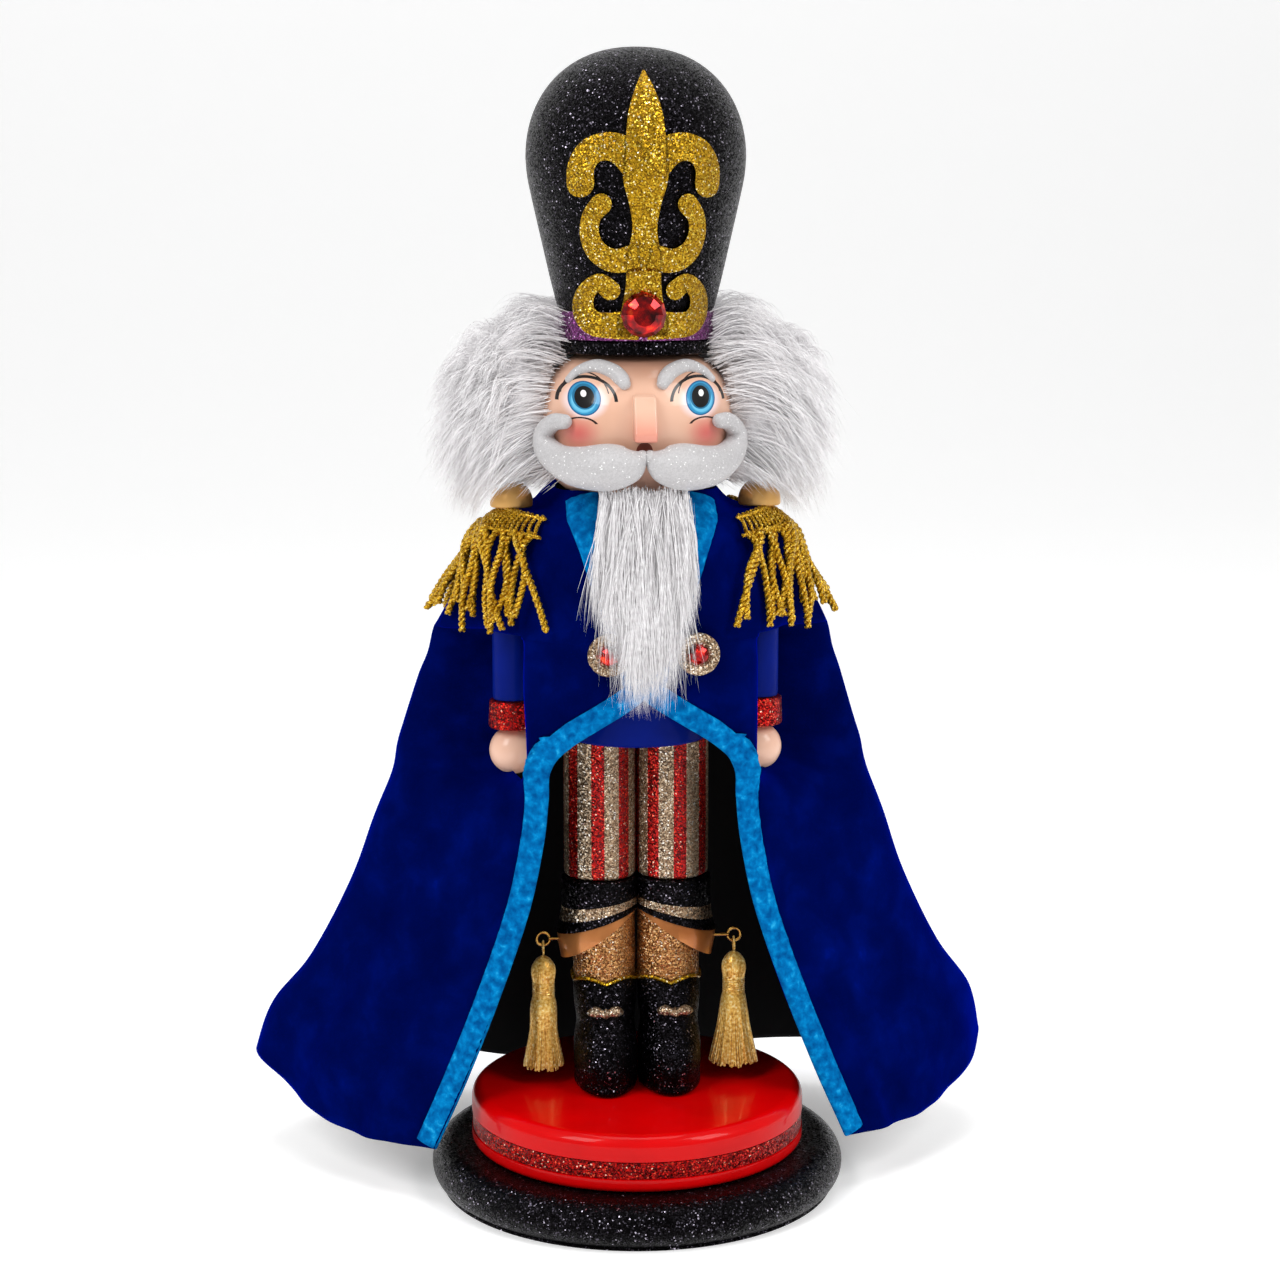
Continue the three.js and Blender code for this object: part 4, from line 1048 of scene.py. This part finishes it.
for side in SIDES:
    low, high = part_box(f"cape_button_{side}")
    x, z = (low.x + high.x) / 2 / MM, (low.z + high.z) / 2 / MM
    back, front = high.y / MM, low.y / MM
    profile = [(0, 0), (8.2, 0), (8.5, 0.4), *arc((7.6, 0.9), 0.9, 0, 90, 4), (5, 1.8), (4.6, 1.5), (0, 1.5)]
    bm = facing_front(turned(profile, 0, 0, 64), (x, back, z))
    keep(bm, f"glitter_button_{side}", "figure", "gold_glitter", champagne_glitter, f"cape_button_{side}")
    bm = stone(4.3, 3, 10, (x, front + 0.3, z))
    keep(bm, f"button_stone_{side}", "figure", "ruby", ruby, f"button_gem_{side}", flat=True)

# %% [markdown]
# ## Jaw
#
# The chin, the lever through the head and the handle behind are one piece of beech on a steel pin. Only
# the chin shows from the front, so only that is painted.

# %% Jaw
LEVER = [(-36, 286.4), (32, 285.5), (34, 280), (38, 226), (44, 226)]
LEVER += [(44, 290), (40, 295), (-20, 295), (-24, 299.6), (-36, 299.6)]


def chin_and_beech():
    """Flesh paint on the chin, bare wood behind it."""
    finish = beech()
    tree, shader, place = reopened(finish)
    y = add(tree, "ShaderNodeSeparateXYZ", {0: place}).outputs[1]
    chin = add(tree, "ShaderNodeMath", {0: y, 1: -18 * MM}, operation="LESS_THAN").outputs[0]
    lay_over(tree, shader, chin, linear("e9b79f"))
    return finish


keep(slab(LEVER, 13), "jaw_and_handle", "jaw", "wood", chin_and_beech(), "jaw_lever", edge=0.8, sharp=20)

# %% [markdown]
# ## Fur
#
# The wig and the beard are long-pile fur. A soft undercoat fills each tuft, and over it thousands of
# flat strands grow outwards, bend down under their own weight and gather into pointed locks. A lock is
# a bundle of strands that start apart and end near one line, which is what makes fur look like fur.

# %% Fur helpers
STRAND_POINTS = 7
STRAIGHT_DOWN = Vector((0, 0, -1))


def scatter():
    """A random step in all three directions."""
    return Vector(random.gauss(0, 1) for _ in range(3))


def lock(root, grow, length, fall, spread, count, gather=0.75):
    """A lock of strands: it grows one way, falls by a share of its length and gathers towards its tip."""
    lines = []
    wave = Vector(random.uniform(-1, 1) for _ in range(3)) * length * 0.1
    for _ in range(count):
        aside = scatter() * spread
        reach = length * random.uniform(0.72, 1.12)
        fray = scatter() * reach * 0.05
        line = []
        for i in range(STRAND_POINTS):
            t = i / (STRAND_POINTS - 1)
            at = root + grow * reach * (t - 0.3 * t * t) + STRAIGHT_DOWN * reach * fall * t * t
            at += wave * math.sin(t * 2.6) + aside * (1 - gather * t) + fray * t * t
            line.append((*at, (1 - t) ** 0.6 if i < STRAND_POINTS - 1 else 0.05))
        lines.append(line)
    return lines


def end_where(line, beyond):
    """Ends a strand in a fine tip before its first point that is beyond a limit."""
    i = next((i for i, point in enumerate(line) if beyond(*point)), len(line))
    line[i:] = [(*line[max(i - 1, 0)][:3], 0.03)] * (len(line) - i)


def undercoat(centre, radii, lumps):
    """A lumpy rounded body that fills the middle of a tuft."""
    bm = bmesh.new()
    bmesh.ops.create_icosphere(bm, subdivisions=4, radius=1)
    for v in bm.verts:
        swell = 1 + lumps * noise.noise(v.co * 3)
        v.co = Vector(c + r * swell * p for c, r, p in zip(centre, radii, v.co))
    return bm


# %% Wig
HAIR_LOW, HAIR_OVER_DOME, DOME_REACH = 271, 286, 61


def clear_of_dome(lines):
    """Ends strands where they would reach a shoulder dome or, outside the domes, the fringe."""
    for line in lines:
        floor = HAIR_LOW + random.uniform(0, 6)
        above = HAIR_OVER_DOME + random.uniform(-2, 3)
        end_where(line, lambda x, y, z, share: z < (above if abs(x) < DOME_REACH else floor))
    return lines


for side, sign in SIDES.items():
    lines = []
    for _ in range(430):
        z = random.uniform(291, 358)
        angle = math.radians(random.uniform(-24, 75))
        lift = (z - 322) / 31
        reach = 38 if z < 338 else 32
        root = Vector((sign * reach * math.cos(angle), FIGURE_Y + reach * math.sin(angle), z))
        grow = Vector((sign * (math.cos(angle) + 0.3), math.sin(angle) * 0.8 - 0.08, 0.62 * lift)).normalized()
        length = 54 - 18 * min(abs(lift), 1.1) ** 1.5 + random.uniform(-5, 5)
        lines += lock(root, grow, length, 0.42, 1.8, 16)
    centre, radii = Vector((sign * 50, 10, 321)), (19, 21, 30)
    for _ in range(330):
        out = scatter().normalized()
        out.x = sign * abs(out.x)
        root = centre + Vector(a * b for a, b in zip(out, radii)) * 0.97
        grow = (out + Vector((sign * 0.5, 0, 0.1))).normalized()
        lines += lock(root, grow, 18 + random.uniform(-4, 5), 0.6, 1.6, 15)
    bm = strands("wig", clear_of_dome(lines), 0.17, ribbon=True)
    keep(bm, f"wig_strands_{side}", "figure", "fur", white_fur, f"hair_{side}", closed=False)
    bm = undercoat(centre, radii, 0.12)
    keep(bm, f"wig_undercoat_{side}", "figure", "fur", fur_backing, f"hair_{side}")

HANDLE_CLEAR, HANDLE_HALF = 309, 10
lines = []
for _ in range(620):
    angle = random.uniform(math.radians(12), math.radians(168))
    height = random.uniform(-1, 1)
    out = Vector((math.cos(angle), math.sin(angle), 0.75 * height)).normalized()
    root = Vector((43 * out.x, FIGURE_Y + 41 * math.sin(angle), 325 + 22 * height))
    length = 22 + 5 * height + random.uniform(-3, 3)
    lines += lock(root, out, length, 0.62, 1.5, 16)
lines = [line for line in lines if abs(line[0][0]) > HANDLE_HALF or line[0][2] > HANDLE_CLEAR]
for line in lines:
    end_where(line, lambda x, y, z, share: z < HANDLE_CLEAR and abs(x) < HANDLE_HALF)
bm = strands("wig", lines, 0.19, ribbon=True)
keep(bm, "wig_strands_back", "figure", "fur", white_fur, "hair_back", closed=False)
bm = undercoat((0, 14, 333), (45, 37, 24), 0.05)
saw_off(bm, (0, 16, 0), (0, -1, 0))
keep(bm, "wig_undercoat_back", "figure", "fur", fur_backing, "hair_back")

# %% [markdown]
# ## Beard
#
# The beard is a strip of the same fur, glued under the chin, with its pile combed straight down. Its
# strands are rooted all the way down the strip, end in a loose point and stray at the sides. It crosses
# the jaw joint but rides on no body: its top is kept in front of the chin and its tail in front of the cape.

# %% Beard
BEARD_END = 201
BEARD_FRONT, CHIN_FRONT, CAPE_FRONT = -46.5, -33.2, -40.4
STRAY_SHARE = 0.12


def beard_lock():
    """One lock, rooted anywhere down the strip, which leans in towards the beard's point."""
    across = random.uniform(-1, 1)
    down = random.random() ** 1.6
    deep = -34.5 - 3.5 * (1 - across * across) - random.uniform(0, 2)
    root = Vector((16 * across * (1 + 0.1 * down), deep, 289.5 - 34 * down))
    tip_z = 204 + 46 * abs(across) ** 1.2 + random.uniform(-3, 17)
    straying = random.random() < STRAY_SHARE
    lean = 0.1 * across + random.uniform(-0.05, 0.05)
    if straying:
        lean += -0.12 if random.random() < 0.6 else 0.12
    length = max(root.z - tip_z, 18)
    lean -= 0.19 * across * max(length - 30, 0) / 50
    grow = Vector((lean, -0.06, -1)).normalized()
    return lock(root, grow, length * 1.1, 0.2, 1.2, 26, gather=0.8)


lines = [line for _ in range(430) for line in beard_lock()]
for line in lines:
    for i, (x, y, z, share) in enumerate(line):
        line[i] = (x, min(max(y, BEARD_FRONT), CHIN_FRONT if z > 240 else CAPE_FRONT), z, share)
    end_where(line, lambda x, y, z, share: z < BEARD_END)
bm = strands("beard", lines, 0.15, ribbon=True)
beard_strands = keep(bm, "beard_strands", None, "fur", white_fur, closed=False)

BACKING = [(-35.4, 289.3, 13.5, 2), (-36, 280, 14, 2.6), (-37.4, 265, 12, 2.4)]
BACKING += [(-40, 248, 8, 1.4), (-41.4, 236, 4, 0.8)]
bm = rings([(0.5, y, z, half, deep, deep) for y, z, half, deep in BACKING], 32)
beard_backing = keep(bm, "beard_undercoat", None, "fur", fur_backing, "beard", levels=1)
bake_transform(beard_strands)
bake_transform(beard_backing)
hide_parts("beard")

# %% [markdown]
# ## Cape
#
# The cape is one piece of velvet with a black lining, glued at the neck and shoulders and spread out
# like a bell over the stand. Its surface is given by rows of points from a front edge round to the
# middle of the back, the other half mirrored. Splines through them in both directions give a smooth
# cloth, and soft folds that deepen towards the hem are added along its normal. A slit on each side
# lets the arm out.

# %% The cape's surface
CAPE_ROWS = [
    [(18, -27.5, 288), (24, -21.5, 288), (29.5, -13, 287.5), (32.5, 0, 287.5), (31, 16, 288.5), (22, 42, 295), (0, 51, 299)],
    [(17, -31, 281), (25, -27, 281), (35, -16, 280.5), (40.5, 0, 279.4), (39, 18, 281), (26, 50, 289), (0, 58, 293)],
    [(16, -34, 276), (27, -31.5, 276), (44, -15, 277.4), (52, 0, 278), (47, 20, 277), (28, 55, 281), (0, 64, 285)],
    [(14, -36.5, 268), (27, -35.5, 268), (49, -13.5, 270.5), (61.2, 0, 271), (56, 22, 270), (34, 58, 270), (0, 70, 272)],
    [(11, -37.5, 255), (26, -36.5, 255), (48, -17, 256), (62, 0, 256), (66, 20, 255), (42, 60, 255), (0, 74, 256)],
    [(3.5, -37.5, 232), (26, -36, 232), (46.5, -22, 232), (63.8, 0, 232), (79, 18, 233), (53, 64, 233), (0, 79, 233)],
    [(2.5, -37.5, 228), (25, -36, 228), (46, -23, 228), (50, 13.5, 228), (82, 18, 228), (55, 66, 228), (0, 80, 228)],
    [(0.5, -37.5, 218), (23, -36, 218), (46, -25, 218), (50, 13.5, 218), (84, 18, 218), (58, 68, 218), (0, 83, 218)],
    [(0.8, -37.5, 207), (25, -35.5, 207), (46, -26, 207), (50, 13.5, 207), (88, 20, 207), (62, 72, 207), (0, 86, 207)],
    [(29, -34.5, 188), (38, -31, 188), (46, -26.5, 188), (50, 13.5, 188), (94, 22, 188), (68, 76, 188), (0, 90, 188)],
    [(37, -31, 178), (42, -29.5, 178), (46.5, -26.5, 178), (50, 13.5, 178), (97, 24, 178), (72, 80, 178), (0, 92, 178)],
    [(38, -30.5, 166), (44, -28, 166), (50, -24, 166), (67, -4, 166), (100, 25, 166), (74, 82, 166), (0, 94, 166)],
    [(40, -30, 148), (49, -26, 148), (61, -18, 148), (79, -3, 148), (107, 26, 148), (78, 84, 148), (0, 96, 148)],
    [(46, -29.5, 120), (58, -24, 120), (73, -15, 120), (93, 0, 120), (117, 32, 120), (84, 87, 120), (0, 100, 120)],
    [(58, -30, 85), (74, -23, 84), (92, -12, 84), (113, 6, 85), (134, 40, 86), (93, 92, 80), (0, 103, 78)],
    [(71, -30, 52), (90, -22, 52), (110, -9, 52), (131, 12, 56), (150, 48, 64), (100, 96, 50), (0, 106, 45)],
    [(84, -30, 23), (103, -18, 22), (122, 0, 22), (141, 22, 28), (157, 58, 42), (104, 99, 26), (0, 110, 14)],
]
WHOLE_ROWS = []
for row in CAPE_ROWS:
    mirrored = [Vector((-x, y, z)) for x, y, z in row[:-1]]
    WHOLE_ROWS.append([*mirrored, *[Vector(point) for point in reversed(row)]])
ACROSS, DOWN = 12, len(CAPE_ROWS) - 1


def cape_at(u, v):
    """A place on the plain cape: u from its left front edge, 0, to the right one, 12; v down from the neck."""
    i = min(int(v), DOWN - 1)
    rows = range(max(i - 1, 0), min(i + 3, DOWN + 1))
    column = [spline_at(WHOLE_ROWS[row], u) for row in rows]
    return spline_at(column, v - rows[0]) + Vector((0, FIGURE_Y, 0))


def cape_out(u, v):
    """The way out of the cloth there."""
    step = 0.05
    across = cape_at(min(u + step, ACROSS), v) - cape_at(max(u - step, 0), v)
    down = cape_at(u, min(v + step, DOWN)) - cape_at(u, max(v - step, 0))
    return across.cross(down).normalized()


def fold(u, v):
    """How far the cloth stands out in its folds, in millimetres."""
    low = min(max((v - 9) / 7, 0), 1)
    side = min(max((abs(u - 6) - 1) / 1.8, 0), 1)
    deep = 3.4 * low**1.3 * (1 - 0.75 * side)
    turn = 2 * math.pi * (u - 6)
    hang = math.sin(0.8 * turn + 0.3 * math.sin(0.4 * v)) + 0.5 * math.sin(1.35 * turn + 1.1 + 0.1 * v)
    gather = math.exp(-((v - 3) ** 2) / 9) * 0.7 * math.sin(2.6 * turn + 0.4 * v)
    drift = 0.8 * noise.noise(Vector((u * 1.3, v * 0.5, 0)))
    return deep * hang + gather * (1 - side) + drift * min(v / 4, 1)


# %% The cape
U_STEPS, V_STEPS = 216, 144
SLIT_U = (2.03, 2.97)
SLIT_V = (5.0, 10.45)
bm = bmesh.new()
bmesh.ops.create_grid(bm, x_segments=U_STEPS, y_segments=V_STEPS, size=1)
for v in bm.verts:
    across, down = (v.co.x + 1) / 2 * ACROSS, (1 - v.co.y) / 2 * DOWN
    v.co = cape_at(across, down) + cape_out(across, down) * fold(across, down)
    v.co.z = max(v.co.z, 2)
    v.tag = SLIT_V[0] < down < SLIT_V[1] and SLIT_U[0] < 6 - abs(across - 6) < SLIT_U[1]
inside = [f for f in bm.faces if all(v.tag for v in f.verts)]
bmesh.ops.delete(bm, geom=inside, context="FACES")
bm.normal_update()
back = max(bm.faces, key=lambda f: f.calc_center_median().y)
if back.normal.y < 0:
    bmesh.ops.reverse_faces(bm, faces=bm.faces)
cape_area = sum(f.calc_area() for f in bm.faces) * MM * MM
cape = keep(bm, "velvet_cape", "figure", "velvet", navy_velvet, "cape", closed=False, sharp=180)
cape.data.materials.append(lining)
thickness = cape.modifiers.new("two layers of cloth", "SOLIDIFY")
thickness.thickness = 1.1 * MM
thickness.offset = -1
thickness.material_offset = 1
print("cape cloth", round(cape_area, 4), "square metres")

# %% [markdown]
# ## Binding
#
# The front edges are bound with a padded strip of crushed velvet that wraps from the face to the lining.
# It is a grid, wound once round the edge and carried down it. Noise along its length gives the puckers
# that sewing a soft strip on a curve leaves. Near the neck it widens into a narrow lapel.

# %% Binding
def in_from_edge(edge_u, v, width):
    """The (u, v) of a place square in from a front edge by a width in millimetres, found by stepping to it."""
    small = 0.05
    edge = cape_at(edge_u, v)
    down = cape_at(edge_u, min(v + small, DOWN)) - cape_at(edge_u, max(v - small, 0))
    inward = small if edge_u == 0 else -small
    across = cape_at(edge_u + inward, v) - edge
    square = (across - down * (across.dot(down) / down.length_squared)).normalized()
    target = edge + square * width
    u, w = float(edge_u), v
    for _ in range(5):
        here = cape_at(u, w)
        by_u = (cape_at(u + inward, w) - here) / inward
        step = small if w < DOWN - 1 else -small
        by_v = (cape_at(u, w + step) - here) / step
        gap = target - here
        uu, uv, vv = by_u.dot(by_u), by_u.dot(by_v), by_v.dot(by_v)
        spread = uu * vv - uv * uv
        u += (gap.dot(by_u) * vv - gap.dot(by_v) * uv) / spread
        w += (gap.dot(by_v) * uu - gap.dot(by_u) * uv) / spread
        u, w = min(max(u, 0), ACROSS), min(max(w, 0), DOWN)
    return u, w


ROUND, ALONG = 16, 420
SECTION = [(1, 0.15), (0.85, 0.75), (0.5, 1.25), (0.15, 1.0)]
SECTION = smooth_line([*SECTION, (-0.06, -0.1), (-0.03, -1.3), (0.3, -2.1), (0.95, -1.6)], 3)
for side, sign in SIDES.items():
    edge_u = 0 if sign < 0 else ACROSS
    bm = bmesh.new()
    bmesh.ops.create_grid(bm, x_segments=ROUND, y_segments=ALONG, size=1)
    for vert in bm.verts:
        v = (1 - vert.co.y) / 2 * DOWN
        turn = (vert.co.x + 1) / 2 * (len(SECTION) - 1)
        i = min(int(turn), len(SECTION) - 2)
        share, height = Vector(SECTION[i]).lerp(Vector(SECTION[i + 1]), turn - i)
        width = 9 + 5 * max(1 - v / 5, 0)
        u, w = in_from_edge(edge_u, v, share * width)
        spot = cape_at(u, w)
        if share < 0:
            spot += (cape_at(edge_u, w) - cape_at(abs(edge_u - 0.1), w)).normalized() * -share * width
        puckered = noise.noise(Vector((spot.z / 2.6 + spot.x / 3, share * 2 + 7 * sign, 0)))
        pucker = puckered * (0.55 if height > 0 else 0.1)
        vert.co = spot + cape_out(u, w) * (height + 0.55 + pucker)
    trim = f"cape_trim_{side}"
    keep(bm, f"binding_{side}", "figure", "turquoise_velvet", turquoise_velvet, trim, sharp=180)

# %% [markdown]
# ## Epaulettes
#
# Each epaulette is a length of bullion fringe sewn over the shoulder: a heading of short upright cords and
# long ones that hang from it. Bullion is gold wire twisted two by two, so each cord is two wires wound
# round one hanging line, and every line is bent a little differently.

# %% Bullion cords
def twisted(line, radius, pitch, turn=0.0):
    """Two wires wound round a line of points, as a pair of strands."""
    pair = []
    for half in (0, math.pi):
        wire = []
        gone = 0.0
        for i, point in enumerate(line):
            ahead = Vector(line[min(i + 1, len(line) - 1)]) - Vector(line[max(i - 1, 0)])
            if i:
                gone += (Vector(point) - Vector(line[i - 1])).length
            along = ahead.normalized()
            first = along.cross(Vector((0.3, 1, 0.1))).normalized()
            second = along.cross(first)
            angle = 2 * math.pi * gone / pitch + half + turn
            spot = Vector(point) + (first * math.cos(angle) + second * math.sin(angle)) * radius
            wire.append((*spot, 1))
        pair.append(wire)
    return pair


def over_cape(side, u, v, out):
    """A place standing out from the cape on one side, u counted from that side's front edge."""
    u = u if side < 0 else ACROSS - u
    return cape_at(u, v) + cape_out(u, v) * out


fringes = []
for side, sign in SIDES.items():
    wires = []
    for i in range(26):
        u = 1.6 + 2.8 * i / 25
        top = [over_cape(sign, u, 1.95 + 1.05 * t / 6, 1.9) for t in range(7)]
        wires += twisted([tuple(p) for p in smooth_line([tuple(p) for p in top], 3)], 0.45, 2.2, i)
    for v in (2.1, 2.95):
        row = [tuple(over_cape(sign, 1.5 + 2.9 * i / 30, v, 2.5)) for i in range(31)]
        wires += twisted(smooth_line(row, 2), 0.35, 2.4)
    bm = strands("heading", wires, 0.55, 1)
    keep(bm, f"fringe_heading_{side}", "figure", "bullion", bullion, f"epaulette_tape_{side}")

    wires = []
    for i in range(22):
        u = 1.65 + 2.75 * (i + random.uniform(-0.3, 0.3)) / 21
        out = random.choice((2.6, 3.8, 5.0))
        end_v = random.uniform(4.6, 5.0)
        sway = random.uniform(-0.3, 0.3)
        points = []
        for k in range(6):
            t = k / 5
            bend = sway * t * t + 0.13 * math.sin(4.5 * t + 2 * i)
            stands = 1.8 + out * t**0.7 + 1.2 * math.sin(3 * t + i)
            points.append(tuple(over_cape(sign, u + bend, 2.9 + (end_v - 2.9) * t, stands)))
        cord = twisted(smooth_line(points, 14), 0.78, 4.8, i)
        for wire in cord:
            wire[-1] = (*wire[-1][:3], 0.7)
        wires += cord
    bm = strands("fringe", wires, 0.86, 2)
    keep(bm, f"bullion_fringe_{side}", "figure", "bullion", bullion, f"epaulette_fringe_{side}")

# %% [markdown]
# ## Cape as a sheet of cloth
#
# Laid flat, the cape is about a half ring: short round the neck, long round the hem. It is cut from a
# rectangle of its greatest width and its height, of which the half ring fills about three fifths.

# %% [markdown]
# ## Screw eyes and tassels
#
# A brass screw eye in each cuff holds a loop of thread, and the tassel hangs from the loop. The loop and
# the tassel ride on bodies of their own, so each swings. A tassel is a bulb of thread drawn over a core,
# bound with a few turns and left loose below as a flared skirt.

# %% Screw eyes
EYES = {"left": -38.5, "right": 40.5}
EYE_Y, EYE_Z0 = -2 + FIGURE_Y, 101.5
EYE_RING, EYE_WIRE = 2.7, 0.65
for side, sign in SIDES.items():
    x = EYES[side]
    opening = math.radians(14)
    line = []
    for i in range(41):
        angle = opening + (2 * math.pi - 2 * opening) * i / 40
        line.append((x - sign * EYE_RING * math.cos(angle), EYE_Y, EYE_Z0 + EYE_RING * math.sin(angle), 1))
    shank_x = (x - sign * (EYE_RING - 0.4), x - sign * (EYE_RING + 1.5), sign * (BOOT_X + 13.7))
    bm = strands("eye", [line, [(at, EYE_Y, EYE_Z0, 1) for at in shank_x]], EYE_WIRE, 3)
    keep(bm, f"brass_eye_{side}", "figure", "brass", brass, f"screw_eye_{side}", sharp=60)

# %% Tassels
BAND_TOP, BAND_BOTTOM, SKIRT_BOTTOM = 84, 77.5, 47
BULB_THREADS, SKIRT_THREADS, BAND_TURNS = 46, 150, 8
LOOP_R = 2.6
SKIRT_R = {"left": 8.4, "right": 10.2}
for side, sign in SIDES.items():
    x = EYES[side]

    def round_tassel(r, angle, z):
        """A point of a thread, by its distance and angle from the tassel's middle."""
        return x + r * math.cos(angle), EYE_Y + r * math.sin(angle), z, 1

    ring = []
    for i in range(37):
        angle = 2 * math.pi * i / 36
        ring.append((x, EYE_Y + LOOP_R * 0.75 * math.sin(angle), EYE_Z0 - 3.8 + LOOP_R * math.cos(angle)))
    bm = strands("loop", twisted(ring, 0.24, 2.0), 0.28, 1)
    keep(bm, f"thread_loop_{side}", f"loop_{side}", "thread", gold_thread, f"tassel_loop_{side}", closed=False)

    spread = SKIRT_R[side]
    bulb = [(0.6, 93.6), (2.4, 92.6), (4.1, 90), (4.5, 87), (4.0, 84), (3.7, 80.5), (4.0, 77.5), (4.9, 73)]
    skirt = [(4.9, 73), (spread * 0.62, 63), (spread * 0.8, 54), (spread * 0.88, 48.4)]
    core = [(0, 94), *smooth_line(bulb, 4), *smooth_line(skirt, 4), (0, 50)]
    bm = turned(core, x, EYE_Y, 48)
    keep(bm, f"tassel_core_{side}", f"tassel_{side}", "thread", gold_thread, f"tassel_{side}")

    over_bulb = [(0.7, 93.9), (2.6, 92.8), (4.4, 90), (4.8, 87), (4.3, 84), (4.1, 80), (4.3, 77)]
    over_bulb = smooth_line(over_bulb, 2)
    wires = []
    for i in range(BULB_THREADS):
        wires.append([round_tassel(r, 2 * math.pi * i / BULB_THREADS, z) for r, z in over_bulb])
    for i in range(SKIRT_THREADS):
        angle = 2 * math.pi * i / SKIRT_THREADS + random.uniform(-0.02, 0.02)
        end = spread * random.uniform(0.9, 1.0)
        low = SKIRT_BOTTOM + random.uniform(0, 2)
        wander = random.uniform(-0.08, 0.08)
        hang = smooth_line([(4.2, 77.2), (5.2, 72.5), (end * 0.66, 63), (end * 0.86, 54), (end, low)], 3)
        wires.append([round_tassel(r, angle + wander * k / 12, z) for k, (r, z) in enumerate(hang)])
    winding = []
    for i in range(300):
        t = i / 299
        height = BAND_TOP - 0.4 - (BAND_TOP - BAND_BOTTOM) * t
        winding.append(round_tassel(4.35, 2 * math.pi * BAND_TURNS * t, height))
    wires.append(winding)
    bm = strands("threads", wires, 0.36, 1)
    keep(bm, f"tassel_threads_{side}", f"tassel_{side}", "thread", gold_thread, closed=False)

# %% [markdown]
# ## Floor, backdrop and light
#
# The floor curves up behind into a plain backdrop, so no horizon shows. Two big soft boxes stand at the
# front, left and right, and a third hangs overhead: they give the lacquer its two long highlights.

# %% Studio
bm = bmesh.new()
sweep_line = [(-6, 0), (2.2, 0)]
for degrees in range(8, 91, 8):
    angle = math.radians(degrees)
    sweep_line.append((2.2 + 1.2 * math.sin(angle), 1.2 - 1.2 * math.cos(angle)))
sweep_line.append((3.4, 6))
near = [bm.verts.new((-8, y, z)) for y, z in sweep_line]
edges = [bm.edges.new(pair) for pair in zip(near, near[1:])]
grown = bmesh.ops.extrude_edge_only(bm, edges=edges)
bmesh.ops.translate(bm, vec=(16, 0, 0), verts=[g for g in grown["geom"] if isinstance(g, bmesh.types.BMVert)])
for face in bm.faces:
    face.smooth = True
mesh = bpy.data.meshes.new("backdrop")
bm.to_mesh(mesh)
bm.free()
backdrop = bpy.data.objects.new("backdrop", mesh)
bpy.context.scene.collection.objects.link(backdrop)
paper, tree, shader, place = finish_named("backdrop_paper", "f6f6f6", Roughness=0.9, Emission_Strength=0.3)
shader.inputs["Emission Color"].default_value = linear("ffffff")
mesh.materials.append(paper)
backdrop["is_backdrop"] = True

for name, at, power, size in (
    ("box_left", (-1.15, -0.95, 1.5), 17, (0.7, 1.0)),
    ("box_right", (1.2, -0.9, 1.4), 15, (0.7, 1.0)),
    ("box_top", (0, 0.05, 1.9), 10, (1.0, 1.0)),
):
    lamp = bpy.data.objects.new(name, bpy.data.lights.new(name, "AREA"))
    bpy.context.scene.collection.objects.link(lamp)
    lamp.data.energy = power
    lamp.data.shape = "RECTANGLE"
    lamp.data.size, lamp.data.size_y = size
    lamp.location = at
    lamp.rotation_euler = (Vector((0, 0, 0.24)) - Vector(at)).to_track_quat("-Z", "Y").to_euler()

world = bpy.data.worlds.new("studio")
bpy.context.scene.world = world
world.use_nodes = True
world.node_tree.nodes["Background"].inputs["Color"].default_value = linear("ffffff")
world.node_tree.nodes["Background"].inputs["Strength"].default_value = 0.42
bpy.context.scene.view_settings.view_transform = "Standard"
print("studio lit")

# %% Sizes and the end
low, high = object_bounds()
